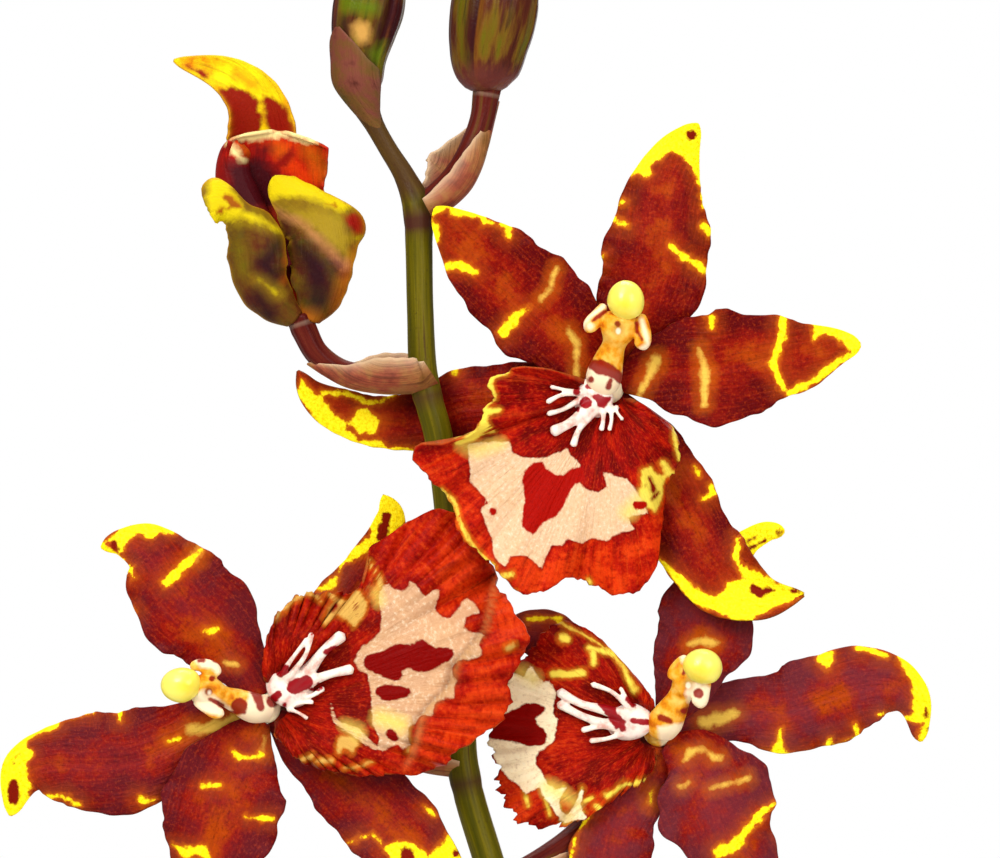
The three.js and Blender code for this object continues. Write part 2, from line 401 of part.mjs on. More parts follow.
// A closed limb of round section along rows of x, y, z and radius. Ribs are the number of ridges round it and
// their depth, and flatten is its depth over its width.
function limbSolid(rows, { sides = 8, steps = 10, grow = 0, ribs = [0, 0], flatten = 1 } = {}) {
  const along = throughRows(rows);
  const rings = [];
  let side = new THREE.Vector3(1, 0, 0);
  for (let i = 0; i <= steps; i++) {
    const t = i / steps;
    const [x, y, z, radius] = along(t);
    const ahead = new THREE.Vector3(...along(t + 0.01));
    const tangent = ahead.sub(new THREE.Vector3(...along(t - 0.01))).normalize();
    side = side.clone().addScaledVector(tangent, -side.dot(tangent)).normalize();
    const other = tangent.clone().cross(side);
    rings.push({ centre: new THREE.Vector3(x, y, z), radius: radius + grow, side, other });
  }
  const geometry = new THREE.CylinderGeometry(1, 1, 1, sides, steps);
  const position = geometry.attributes.position;
  for (let i = 0; i < position.count; i++) {
    const [u, v] = [position.getX(i), position.getZ(i)];
    const ring = rings[Math.round((position.getY(i) + 0.5) * steps)];
    const rib = 1 + ribs[1] * Math.cos(ribs[0] * Math.atan2(v, u));
    const place = ring.centre.clone().addScaledVector(ring.side, u * ring.radius * rib);
    place.addScaledVector(ring.other, v * ring.radius * rib * flatten);
    position.setXYZ(i, place.x, place.y, place.z);
  }
  return solidOf(geometry);
}

function ellipsoidSolid(centre, radii, [round, tall], grow = 0) {
  const geometry = new THREE.SphereGeometry(1, round, tall);
  geometry.rotateX(Math.PI / 2);
  geometry.scale(radii[0] + grow, radii[1] + grow, radii[2] + grow);
  geometry.translate(...centre);
  return solidOf(geometry);
}

// Rows measured from a bloom's heart, as rows in the part's frame
function fromHeart(heart, rows) {
  const [x, y, z] = heart;
  return rows.map(([right, up, front, ...rest]) => [x + right, y - front, z + up, ...rest]);
}

// The lip's surface: s runs round the fan and t out from its root.
function lipSurface(heart, { root, reach, tilt, ruffles, outline }) {
  const radiusAt = throughRows(outline.map(([angle, radius]) => [angle, 0, 0, radius]));
  const [height, count, phase] = ruffles;
  const CREST = 0.55;
  return (s, t) => {
    const u = (s + 1) / 2;
    const [degrees, , , outer] = radiusAt(u);
    const angle = THREE.MathUtils.degToRad(degrees);
    const radius = LIP.innerRadius + (outer - LIP.innerRadius) * t;
    const right = root[0] + radius * Math.cos(angle);
    const up = root[1] + radius * Math.sin(angle);
    const rise = t < CREST ? Math.sin((Math.PI / 2) * (t / CREST)) : 1 - 0.9 * (t - CREST) ** 2;
    const ruffle = height * t ** 3 * Math.sin(2 * Math.PI * count * u + phase);
    const slope = t * ((right - root[0]) * tilt[0] + (up - root[1]) * tilt[1]);
    const front = root[2] + reach * rise * (1 - 0.35 * s ** 4) + slope + ruffle;
    return new THREE.Vector3(heart[0] + right, heart[1] - front, heart[2] + up);
  };
}

// The place on a lip at an angle in degrees and a distance from its root
function placeOnLip(surface, outline, degrees, distance) {
  const [from, to] = [outline[0][0], outline.at(-1)[0]];
  let [low, high] = [0, 1];
  const angleAt = throughRows(outline.map(([angle, radius]) => [angle, 0, 0, radius]));
  for (let i = 0; i < 20; i++) {
    const middle = (low + high) / 2;
    if ((angleAt(middle)[0] - degrees) * (to - from) < 0) low = middle;
    else high = middle;
  }
  const outer = angleAt(low)[3];
  return surface(2 * low - 1, Math.min((distance - LIP.innerRadius) / (outer - LIP.innerRadius), 0.8));
}

// The lip with its callus
function lipSolid(heart, lip, callus) {
  const surface = lipSurface(heart, lip);
  const solid = sheetSolid(surface, LIP.across, LIP.along, LIP.thickness);
  const swelling = placeOnLip(surface, lip.outline, callus.angle, CALLUS_SWELLING.out);
  let raised = ellipsoidSolid([swelling.x, swelling.y - 0.5, swelling.z], CALLUS_SWELLING.radii, [9, 5]);
  for (const [degrees, length] of callus.fingers) {
    const rows = [0.45, 0.72, 1].map((share, i) => {
      const place = placeOnLip(surface, lip.outline, degrees, share * length);
      return [place.x, place.y - FINGER.heights[i], place.z, FINGER.radii[i]];
    });
    raised = raised.add(limbSolid(rows, { sides: 5, steps: 2 }));
  }
  return largestBody(solid.add(raised));
}

// The column with a wing on each side of its head, seated round its anther cap.
function columnSolid(heart, { rows, wings, cap, capSize }) {
  let solid = limbSolid(fromHeart(heart, rows), { sides: 8, steps: 6 });
  for (const wing of wings) {
    const [[x, y, z]] = fromHeart(heart, [wing]);
    solid = solid.add(ellipsoidSolid([x, y, z], [2, 1, 1.7], [7, 4]));
  }
  const [centre] = fromHeart(heart, [cap]);
  return largestBody(solid.subtract(ellipsoidSolid(centre, capSize, [12, 7], CLEARANCE)));
}

// The x and y of the stem's midline at a height
function stemAt(height) {
  const above = STEM.findIndex((row) => row[2] > height);
  const [low, high] = [STEM[above - 1], STEM[above]];
  const share = (height - low[2]) / (high[2] - low[2]);
  return [low[0] + (high[0] - low[0]) * share, low[1] + (high[1] - low[1]) * share];
}

// Where a leaf is rooted: against its bulb's neck, or in the bark beside the bulb's belly
function leafRoot({ bulb, heading }, low) {
  const { at, height, half } = BULBS[bulb];
  const turn = THREE.MathUtils.degToRad(heading);
  const reach = half * (low ? 1.03 : 0.27);
  const edge = reach / Math.hypot(Math.cos(turn), Math.sin(turn) / BULB_FLATTEN);
  const away = edge + LEAF.thickness / 2 + CLEARANCE + 0.3;
  const rootHeight = low ? BARK.top - 6 : BULB_FOOT + 0.955 * height;
  return [at[0] + away * Math.cos(turn), at[1] + away * Math.sin(turn), rootHeight];
}

// A leaf's rows: the spine leans further from upright towards the tip, and the blade is widest near its middle.
function leafRows({ heading, length, lean, half }, root) {
  const ROWS = 9;
  const WIDEST = 0.45;
  const turn = THREE.MathUtils.degToRad(heading);
  let [x, y, z] = root;
  const rows = [];
  for (let i = 0; i < ROWS; i++) {
    const u = i / (ROWS - 1);
    const widening = 0.3 + 0.7 * Math.sin((Math.PI / 2) * (u / WIDEST));
    const narrowing = Math.cos((Math.PI / 2) * Math.max(0, (u - WIDEST) / (1 - WIDEST))) ** 0.75;
    const width = Math.max(half * (u < WIDEST ? widening : narrowing), 0.8);
    rows.push([x, y, z, width, width]);
    const tilt = THREE.MathUtils.degToRad(lean[0] + (lean[1] - lean[0]) * ((i + 0.5) / (ROWS - 1)) ** 1.25);
    const step = length / (ROWS - 1);
    x += step * Math.sin(tilt) * Math.cos(turn);
    y += step * Math.sin(tilt) * Math.sin(turn);
    z += step * Math.cos(tilt);
  }
  return rows;
}

function leafBlade(leaf, low = false, sink = 0) {
  const turn = THREE.MathUtils.degToRad(leaf.heading);
  const [x, y, z] = leafRoot(leaf, low);
  const rows = leafRows(leaf, [x, y, z - sink]);
  return { rows, facing: [-Math.cos(turn), -Math.sin(turn), 1], fold: [0.05, 0.3, 0.1] };
}

function bulbSolid({ at, height, half }, grow = 0) {
  const rows = BULB_FORM.map(([share, width]) => [at[0], at[1], BULB_FOOT + share * height, width * half]);
  return limbSolid(rows, { sides: 16, steps: 8, ribs: [8, 0.035], flatten: BULB_FLATTEN, grow });
}

// The radius of the pot's outside at a height below its rim
function potRadius(z) {
  const { foot, shoulder, height, footBevel, collar } = POT;
  return foot + footBevel + (shoulder - foot - footBevel) * (z / (height - collar)) ** 0.9;
}

// The pot: flat foot, walls that flare to a rounded rim, and a floor.
function potSolid() {
  const { foot, rim, height, wall, floor, sides, footBevel, collar } = POT;
  const profile = [[0, 0], [foot, 0], [foot + footBevel, footBevel]];
  for (const z of [14, 34, 54, 74, height - collar]) profile.push([potRadius(z), z]);
  profile.push([rim - 0.6, height - 10], [rim, height - 5], [rim - 0.7, height - 1], [rim - 2.4, height]);
  profile.push([rim - 4.1, height - 1], [rim - 5.2, height - 5]);
  for (const z of [height - collar, 54, 14]) profile.push([potRadius(z) - wall, z]);
  profile.push([foot - 5, floor], [0, floor]);
  const points = profile.map(([r, z]) => new THREE.Vector2(r, z));
  return solidOf(new THREE.LatheGeometry(points, sides).rotateX(Math.PI / 2));
}

function insideOfPot(top) {
  const { foot, wall, floor } = POT;
  const FACET = 0.25;
  const inside = (z) => potRadius(z) - wall - CLEARANCE - FACET;
  const profile = [[0, floor + CLEARANCE], [foot - 5.6, floor + CLEARANCE], [inside(14), 15]];
  for (const z of [54, 90]) profile.push([inside(z) - 0.1, z]);
  if (top > 90) profile.push([inside(90) - 0.1, top]);
  profile.push([0, top]);
  const points = profile.map(([r, z]) => new THREE.Vector2(r, z));
  return solidOf(new THREE.LatheGeometry(points, BARK.sides).rotateX(Math.PI / 2));
}

// Numbers from 0 to 1 that are the same on every run
function seededNumbers(seed) {
  let state = seed;
  return () => {
    state = (state * 1664525 + 1013904223) % 4294967296;
    return state / 4294967296;
  };
}

// Bark chips lie in a sunflower spiral over a bed that fills the pot.
function barkSolid(standing) {
  const draw = seededNumbers(11);
  let bed = insideOfPot(BARK.top);
  const GOLDEN_TURN = 2.39996;
  const chips = [];
  for (let i = 0; i < BARK.chips; i++) {
    const distance = BARK.chipSpread * Math.sqrt((i + 0.5) / BARK.chips);
    const length = BARK.chipLength * (0.75 + 0.5 * draw());
    const chip = new THREE.BoxGeometry(length, length * 0.62, 4.5 + 3 * draw());
    const corner = chip.attributes.position;
    for (let k = 0; k < corner.count; k++) {
      const bite = 1 + 0.16 * Math.sin(7 * corner.getX(k) + 5 * corner.getY(k) + 3 * corner.getZ(k) + i);
      corner.setXYZ(k, corner.getX(k) * bite, corner.getY(k) * bite, corner.getZ(k) * bite);
    }
    chip.rotateX(0.9 * (draw() - 0.5)).rotateY(0.7 * (draw() - 0.5)).rotateZ(2 * Math.PI * draw());
    const turn = i * GOLDEN_TURN;
    const crown = BARK.crown * (1 - (distance / BARK.chipSpread) ** 2);
    chip.translate(distance * Math.cos(turn), distance * Math.sin(turn), BARK.top + crown - 0.8);
    chips.push(solidOf(chip));
  }
  bed = chips.reduce((sum, chip) => sum.add(chip), bed).intersect(insideOfPot(BARK.top + 14));
  return largestBody(standing.reduce((left, solid) => left.subtract(solid), bed));
}

const orchid = new THREE.Group();

function addNode(name, solid, [color, roughness]) {
  const material = new THREE.MeshStandardMaterial({ color, roughness, metalness: 0 });
  const mesh = new THREE.Mesh(geometryOf(solid), material);
  mesh.name = name;
  orchid.add(mesh);
}

// The pot and what grows in it
const stemSolid = (grow = 0) => limbSolid(STEM, { sides: 9, steps: 38, grow });
const standing = [stemSolid(CLEARANCE)];
for (const bulb of Object.values(BULBS)) standing.push(bulbSolid(bulb, CLEARANCE));
for (const leaf of Object.values(SHEATH_LEAVES))
  for (const sink of [0, 2 * CLEARANCE])
    standing.push(bladeSolid(leafBlade(leaf, true, sink), LEAF, CLEARANCE));

addNode("pot", potSolid(), MATERIALS.glaze);
addNode("bark", barkSolid(standing), MATERIALS.bark);
for (const [name, bulb] of Object.entries(BULBS)) addNode(name, bulbSolid(bulb), MATERIALS.bulb);
for (const [name, leaf] of Object.entries(LEAVES))
  addNode(name, bladeSolid(leafBlade(leaf), LEAF), MATERIALS.leaf);
for (const [name, leaf] of Object.entries(SHEATH_LEAVES))
  addNode(name, bladeSolid(leafBlade(leaf, true), LEAF), MATERIALS.leaf);

// The flower stem, its sheaths, its stalks and their bracts
addNode("flower_stem", stemSolid(), MATERIALS.stem);
for (const [name, [height, turned]] of Object.entries(STEM_SHEATHS)) {
  const rows = [0, 9, 20, 27].map((rise, i) => {
    const [x, y] = stemAt(height + rise);
    const away = [3.5, 3.6, 3.7, 5][i] * turned;
    return [x + away, y, height + rise, [4.5, 4.6, 3, 0.6][i], [4.5, 4.6, 3, 0.6][i]];
  });
  const sheath = bladeSolid({ rows, facing: [-turned, 0, 0], bend: [1.25, 1.2, 0.8] }, BRACT);
  addNode(name, largestBody(sheath.subtract(stemSolid(CLEARANCE))), MATERIALS.bract);
}
const stalkSolid = (name, grow = 0) => limbSolid(STALKS[name], { sides: 8, steps: 8, grow });
for (const name of Object.keys(STALKS))
  addNode(`stalk_${name}`, largestBody(stalkSolid(name).subtract(stemSolid(CLEARANCE))), MATERIALS.stalk);
const lastBud = (grow = 0) => limbSolid(LAST_BUD, { sides: 12, steps: 9, ribs: [6, 0.03], grow });
for (const [name, { facing, rows }] of Object.entries(BRACTS)) {
  const carried = name.replace("bract_", "");
  let bract = bladeSolid({ rows, facing, bend: [1.5, 1.5, 0.9] }, BRACT).subtract(stemSolid(CLEARANCE));
  bract = bract.subtract(carried === "last_bud" ? lastBud(CLEARANCE) : stalkSolid(carried, CLEARANCE));
  addNode(name, largestBody(bract), MATERIALS.bract);
}

// The open blooms
for (const [name, { rows, bend, wave }] of Object.entries(TEPALS)) {
  const heart = HEARTS[name.slice(0, 7)];
  addNode(name, bladeSolid({ rows: fromHeart(heart, rows), bend, wave }, TEPAL), MATERIALS.tepal);
}
for (const [bloom, heart] of Object.entries(HEARTS)) {
  addNode(`${bloom}_lip`, lipSolid(heart, LIPS[bloom], CALLUS[bloom]), MATERIALS.lip);
  addNode(`${bloom}_column`, columnSolid(heart, COLUMNS[bloom]), MATERIALS.column);
  const [capCentre] = fromHeart(heart, [COLUMNS[bloom].cap]);
  addNode(`${bloom}_anther_cap`, ellipsoidSolid(capCentre, COLUMNS[bloom].capSize, [12, 7]), MATERIALS.cap);
}

// The buds
for (const [name, { rows, ...form }] of Object.entries(OPENING_TEPALS))
  addNode(name, bladeSolid({ rows: fromHeart(OPENING_BUD, rows), ...form }, TEPAL), MATERIALS.openingBud);
addNode("upper_bud", limbSolid(UPPER_BUD, { sides: 12, steps: 10, ribs: [6, 0.035] }), MATERIALS.bud);
addNode("last_bud", lastBud(), MATERIALS.bud);

export default orchid;
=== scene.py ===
"""A potted colmanara orchid: a glazed pot of bark, ridged bulbs, strap leaves and a spike of spotted blooms.

Shapes are worked out in millimetres and written to Blender in metres. +Z is up and the blooms face -Y.
"""

import math
import random

import bpy
import numpy as np
from bpy.props import FloatProperty, FloatVectorProperty, IntProperty, PointerProperty
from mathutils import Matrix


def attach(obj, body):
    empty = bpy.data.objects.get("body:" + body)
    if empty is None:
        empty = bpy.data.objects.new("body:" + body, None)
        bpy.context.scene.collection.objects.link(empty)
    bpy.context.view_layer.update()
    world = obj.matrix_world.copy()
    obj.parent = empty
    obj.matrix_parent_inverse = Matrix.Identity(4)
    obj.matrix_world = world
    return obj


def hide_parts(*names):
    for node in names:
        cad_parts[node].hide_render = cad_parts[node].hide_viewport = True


bl_info = {
    "name": "Potted Colmanara Orchid",
    "version": (1, 0, 0),
    "blender": (4, 5, 0),
    "location": "View3D > Sidebar > Orchid",
    "description": "Builds a potted orchid in bloom, with its pot, bark, bulbs, leaves and studio",
    "category": "Add Mesh",
}

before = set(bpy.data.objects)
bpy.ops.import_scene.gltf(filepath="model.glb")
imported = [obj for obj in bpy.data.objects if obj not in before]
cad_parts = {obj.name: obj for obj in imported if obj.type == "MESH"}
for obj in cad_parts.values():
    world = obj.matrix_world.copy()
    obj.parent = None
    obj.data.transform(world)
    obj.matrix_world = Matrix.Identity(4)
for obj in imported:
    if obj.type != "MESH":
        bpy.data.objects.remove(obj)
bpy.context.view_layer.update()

MM = 0.001
FRONT = (0, -1, 0)
BACK = (0, 1, 0)

# The camera looks along +Y at the height of the blooms. In the plane of the stem a photo pixel is 0.15 mm
PIXEL = 0.15
CAMERA = (-2.25, -750, 464.35)
PICTURE_CENTRE = (500, 429)


def linear(colour):
    """An sRGB hex colour as the linear red, green, blue and alpha that Blender reads."""
    parts = [int(colour[i : i + 2], 16) / 255 for i in (0, 2, 4)]
    return (*[p / 12.92 if p <= 0.04045 else ((p + 0.055) / 1.055) ** 2.4 for p in parts], 1)


# Where each open bloom's parts meet: the bloom's heart
HEARTS = {"bloom_1": (14.25, -1, 470.5), "bloom_2": (-37.05, -4, 422.8), "bloom_3": (22.05, 6, 418.75)}
OPENING_BUD = (-31.95, -1, 480.4)

# The flower stem, from its root among the bark to the foot of the last bud: x, y, z, radius
STEM = [
    (25, -8, 83, 3.4), (27, -6.5, 112, 3.3), (26.5, -5, 165, 3.1), (23.5, -3, 230, 2.9),
    (17.5, -1.5, 295, 2.7), (9, -0.5, 350, 2.5), (-1, 0, 390, 2.4), (-4.1, 0, 400, 2.3),
    (-7.6, 0, 412.5, 2.3), (-8.3, 0, 424, 2.25), (-9.1, 0, 438, 2.2), (-9.9, 0, 452, 2.2),
    (-11.5, 0, 463.3, 2.15), (-13.6, 0, 471.5, 2.15), (-14.2, 0, 482, 2), (-14.4, 0, 492, 2.05),
    (-14.6, 0, 497.5, 2.2), (-16.6, 0, 502.4, 1.6), (-19, 0, 506.3, 1.4), (-21.2, 0, 510.2, 1.5),
    (-22.2, 0, 512.4, 2), (-22.8, 0, 514.6, 2.4)]

# Flower stalks with the ovary at their far end: x, y, z, radius
STALKS = {
    "bloom_1": [
        (-10.5, 0, 451.6, 1.5), (-3, 2.4, 452.6, 1.6), (4, 5.2, 458.2, 1.8), (11, 5.2, 466.6, 2),
        (14, 2.8, 470.2, 2.1), (14.25, -0.25, 470.5, 2.1)],
    "bloom_2": [
        (-7.6, 0, 415.2, 1.5), (-14, 3, 415.8, 1.6), (-24, 4.2, 418.6, 1.8), (-33, 2.6, 422, 2),
        (-36.6, -0.6, 422.8, 2.1), (-37.05, -3.25, 422.8, 2.1)],
    "bloom_3": [
        (-2.8, 0, 396.2, 1.5), (4, 4, 399.6, 1.6), (10.5, 8.6, 404, 1.8), (17.5, 11.8, 411.2, 2),
        (21.6, 10.4, 418, 2.1), (22.05, 6.75, 418.75, 2.1)],
    "opening_bud": [
        (-14.6, 0, 472.9, 1.6), (-21, -0.3, 472.6, 1.6), (-26, -0.6, 473.1, 1.7), (-29.6, -1, 475.6, 1.8),
        (-31.6, -1, 479.2, 1.9), (-31.9, -1, 480.1, 1.9)],
    "upper_bud": [
        (-14.2, 0, 497.6, 1.6), (-10.4, 0.3, 501, 1.7), (-7.8, 0.3, 504.2, 1.8), (-6, 0.2, 507.6, 1.8),
        (-4.9, 0, 511, 1.8), (-4.35, 0, 514.4, 1.9)]}

# Boat-shaped bracts: x, y, z of the keel, half widths left and right of it, one where they are alike
BRACT_BEND = (1.5, 1.5, 0.9)
BRACTS = {
    "bract_bloom_1": {"facing": (-0.3, 0, 1),
        "rows": [(-9.4, 0.4, 448.6, 3.6), (-4, 2, 448.7, 4.2), (0.5, 4, 450.9, 3.6), (4.6, 6.4, 455, 0.5)]},
    "bract_bloom_2": {"facing": (0.2, 0, 1), "rows": [
        (-7.8, 0.2, 412.2, 3.8), (-13, 1.8, 412.8, 4.4), (-17.5, 3.2, 414, 3.6), (-21.4, 4.4, 416, 0.5)]},
    "bract_bloom_3": {"facing": (-0.5, 0, 1), "rows": [
        (-1.6, 0.6, 392.6, 3.8), (3.4, 3.6, 395.6, 4.4), (8.2, 8, 398.6, 3.4), (13, 12, 403.2, 0.5)]},
    "bract_opening_bud": {"facing": (0, 0, 1), "bend": (1.5, 1.5, 1.2), "rows": [
        (-11.6, -0.4, 471.4, 6, 5), (-13.4, -0.4, 470.3, 7.6, 8.4), (-17.2, -0.5, 469.8, 8.2, 9.6),
        (-21.4, -0.6, 470, 8, 9.2), (-25.4, -0.8, 470.9, 5.6, 6), (-28.6, -1, 472.6, 3),
        (-31, -1, 474.2, 0.5)]},
    "bract_upper_bud": {"facing": (-1, -0.25, 0.75), "bend": (1.8, 1.9, 1.1), "rows": [
        (-12.4, -0.2, 496.2, 6, 5.4), (-9.8, -0.3, 497.6, 8, 6.2), (-7, -0.3, 500.2, 9.8, 6.2),
        (-5.4, 0, 503.2, 9.8, 5.8), (-4.4, 0.5, 506.4, 7.4, 4.3), (-3.5, 1.3, 510, 3.8, 1.9),
        (-2.6, 2, 513.6, 0.5, 0.4)]}}

# The hood of the last bud hugs it: height, and how far round it reaches to each side in degrees
HOOD = {"bud": "last_bud", "middle": 222, "away": 0.45, "rows": [
    (508.8, 104), (511, 104), (513, 104), (515.5, 105), (518, 98), (519.6, 66), (521.6, 42), (524.4, 5)]}

# Sheaths that hug the stem: height of the foot, and side of the stem
STEM_SHEATHS = {"sheath_low": (185, 1), "sheath_high": (288, -1)}
SHEATH_RISES = (0, 9, 20, 27)
SHEATH_AWAY = (3.5, 3.6, 3.7, 5)
SHEATH_HALF_WIDTHS = (4.5, 4.6, 3, 0.6)

# Sepals and petals. Each row is measured from the bloom's heart: right, up, towards the viewer, then the
# half widths left and right of the midline, looking from root to tip, or one where they are alike.
SEPAL_BEND = (-0.1, -0.25, -0.2)
PETAL_BEND = (0.1, 0.12, -0.2)
TEPALS = {
    "bloom_1_dorsal_sepal": {"bend": SEPAL_BEND, "wave": (0.5, 2.6, 0.4), "rows": [
        (0.9, 1.4, 0, 1.6), (4.2, 10.5, 0.2, 6.4, 6.6), (6.4, 17, 0.3, 8), (7.4, 23, 0.2, 7.7),
        (8.6, 30.5, -0.8, 5.6, 5.4), (10.6, 35.4, -1.4, 3.7, 3.2), (13.2, 39.6, -0.2, 0.9, 0.7)]},
    "bloom_1_left_petal": {"bend": PETAL_BEND, "wave": (0.6, 3, 1.2), "rows": [
        (-1.2, 1.5, 1.1, 1.6), (-4.8, 6.3, 1.5, 5.4), (-10.2, 11.2, 2, 8), (-14.1, 14.9, 2.3, 7.4),
        (-18.7, 19.3, 2.6, 6.5, 6.3), (-22.3, 22.8, 2.9, 4.3, 4.1), (-24.8, 25.3, 3.2, 2.4, 2.2),
        (-26.2, 26.9, 3.4, 0.8)]},
    "bloom_1_right_petal": {"bend": PETAL_BEND, "wave": (0.7, 2.8, 0), "rows": [
        (1.5, 0.6, 1.1, 1.5), (6, 2.3, 1.6, 4.9), (10.5, 2.7, 2, 7.2), (16.8, 3.1, 2.3, 8.5, 8.6),
        (23.2, 4.3, 2.2, 6.8), (28.5, 4.9, 1.8, 5.2, 5.3), (33.8, 6.1, 1.6, 2.9), (37.4, 6.4, 2.2, 1)]},
    "bloom_1_left_sepal": {"bend": (-0.1, -0.2, 0.5), "wave": (0.5, 3, 2), "rows": [
        (-1.6, -0.8, 0, 1.6), (-9, -1.6, -2.6, 5), (-16.5, -2.2, -4.4, 6), (-22.5, -2.8, -6, 5.6, 5.4),
        (-30, -5.2, -6.8, 4.4), (-36, -4.8, -6, 3.8), (-41.3, -3, -4.4, 3.4, 3.2),
        (-44.8, -0.6, -2.6, 2.2, 2), (-46.8, 2.5, -1, 0.6)]},
    "bloom_1_right_sepal": {"bend": (-0.1, -0.1, 1.1), "wave": (0.7, 2.6, 1.5), "rows": [
        (0.9, -1.4, 0, 1.6), (4.5, -7.8, -1.4, 5), (8.7, -14.5, -2.4, 6), (12, -20.5, -2.4, 5.6, 6.2),
        (14.6, -25.5, -1.6, 6, 6.4), (18.5, -29.2, -0.6, 5.4, 5.8), (23.3, -31.2, 0.8, 3.4, 3.8),
        (28.9, -30.9, 2, 0.6)]},
    "bloom_2_dorsal_sepal": {"bend": SEPAL_BEND, "wave": (0.5, 2.4, 0.8), "rows": [
        (-1.6, -0.4, 0, 1.6), (-6.9, -1.9, 0.1, 3.6, 4), (-13.2, -5.2, 0.4, 6.1), (-19.2, -7.6, 0.8, 7.5),
        (-25.2, -8.4, 1, 7.6), (-31.2, -8.3, 0.6, 6), (-36.2, -10, -0.2, 3.6, 3.8),
        (-38.4, -16.2, -1.6, 0.8)]},
    "bloom_2_upper_petal": {"bend": PETAL_BEND, "wave": (0.6, 2.6, 0.3), "rows": [
        (-0.7, 1.8, 1.1, 1.6), (-4.6, 7.6, 1.5, 4.8), (-8, 12.4, 1.9, 7.3), (-12, 16.2, 2.2, 7.8),
        (-15.4, 20.6, 2.2, 6.3, 6.4), (-18.3, 23.8, 1.8, 4), (-21.9, 24.6, 1.2, 2),
        (-24.6, 23.9, 0.8, 0.7)]},
    "bloom_2_lower_petal": {"bend": PETAL_BEND, "wave": (0.7, 2.8, 2.1), "rows": [
        (-0.9, -1.8, 1.1, 1.6), (-3.2, -5.8, 1.6, 5.1), (-5.2, -10.3, 2.2, 8.2), (-6.5, -14.9, 2.6, 9),
        (-7.7, -19.3, 2.6, 8), (-9.6, -24, 2, 5.2), (-11.3, -27.6, 1.2, 2.8), (-12.8, -30.3, 0.4, 0.7)]},
    "bloom_2_upper_sepal": {"bend": SEPAL_BEND, "wave": (0.4, 2.4, 1), "rows": [
        (1.1, 1.6, 0, 1.6), (5.6, 7.6, -1.2, 4), (9.6, 12.6, -2.2, 4.8), (13, 17, -2.6, 4.6),
        (15.9, 21.2, -2.4, 3.9, 3.8), (17.8, 25.6, -1.6, 2.9, 2.8), (18.4, 29, -0.6, 2),
        (17.4, 31.7, 0.4, 0.6)]},
    "bloom_2_lower_sepal": {"bend": (-0.1, 0.1, 0.6), "wave": (0.6, 2.6, 0.5), "rows": [
        (1.2, -1.4, 0, 1.6), (5.6, -5.8, -0.6, 4), (10, -9.6, -0.6, 5.2), (14.1, -13.4, 0, 6.6, 6.4),
        (18.6, -17.4, 0.8, 6.8, 6.6), (22.8, -21.3, 1.6, 5.6, 5.4), (27, -24.6, 2.4, 3.4, 3.2),
        (29.6, -26.6, 3, 0.7)]},
    "bloom_3_dorsal_sepal": {"bend": SEPAL_BEND, "wave": (0.5, 2.4, 1.6), "rows": [
        (1.7, 0.4, 0, 1.6), (7.2, 2.2, 0.1, 3.8), (13.2, 3, 0.4, 5), (19.2, 3, 0.8, 6.6), (24.5, 4.7, 1, 7),
        (29.7, 6.4, 0.8, 6.4), (34.9, 6.6, 0.2, 4.8, 4.6), (38.2, 4.2, -0.6, 2.9, 2.6),
        (39.5, -1.7, -1.8, 0.9)]},
    "bloom_3_upper_petal": {"bend": PETAL_BEND, "wave": (0.5, 2.4, 0.9), "rows": [
        (0.6, 1.8, 1.1, 1.6), (2.9, 6, 1.5, 4.3), (4.8, 11, 1.9, 6.1), (6.6, 15.5, 2.2, 7.5),
        (7.8, 20, 2.2, 6.6, 6.2), (9.9, 24.4, 1.6, 4, 3.6), (12.6, 28, 0.8, 2.2, 2),
        (15.9, 30, 0.2, 1.6, 1.5), (18.7, 30.2, 0.6, 0.9)]},
    "bloom_3_lower_petal": {"bend": PETAL_BEND, "wave": (0.7, 2.8, 2.8), "rows": [
        (0.9, -1.7, 1.1, 1.6), (4.4, -4, 1.6, 5.2), (6.7, -7.6, 2.2, 8.2), (8.4, -11.2, 2.6, 9.2),
        (10.4, -15.7, 2.6, 7.2), (13.3, -19.6, 2, 4.8), (15.9, -23.6, 1.2, 2.7), (17.7, -26.9, 0.4, 0.7)]},
    "bloom_3_upper_sepal": {"bend": SEPAL_BEND, "wave": (0.4, 2.2, 0.2), "rows": [
        (-1.2, 1.6, 0, 1.6, 1.4), (-5.5, 6.4, -0.8, 4, 2.2), (-9.6, 9.8, -1.4, 5, 2.7),
        (-13.8, 12.6, -1.8, 5, 3.4), (-17.5, 14.4, -1.8, 4.2, 3.8), (-21, 14.8, -1.2, 3),
        (-24.6, 13.6, -0.4, 0.7)]},
    "bloom_3_lower_sepal": {"bend": SEPAL_BEND, "wave": (0.5, 2.4, 1.1), "rows": [
        (-0.4, -1.6, 0, 1.6), (-1.8, -6.2, 0.8, 3.8), (-4.2, -10, 1.6, 4.8), (-6.3, -14, 2.4, 5.4),
        (-7.6, -18.8, 2.6, 6.3), (-8.9, -23.3, 2.4, 5.2), (-10.4, -27.3, 1.8, 3), (-11.8, -30.7, 1, 0.7)]}}

# How strong the plum tint on the petals of each flower is, partly a painted purple sheen
PLUM_TINT_AND_SHEEN = {"bloom_1": 0, "bloom_2": 0.4, "bloom_3": 0.9}

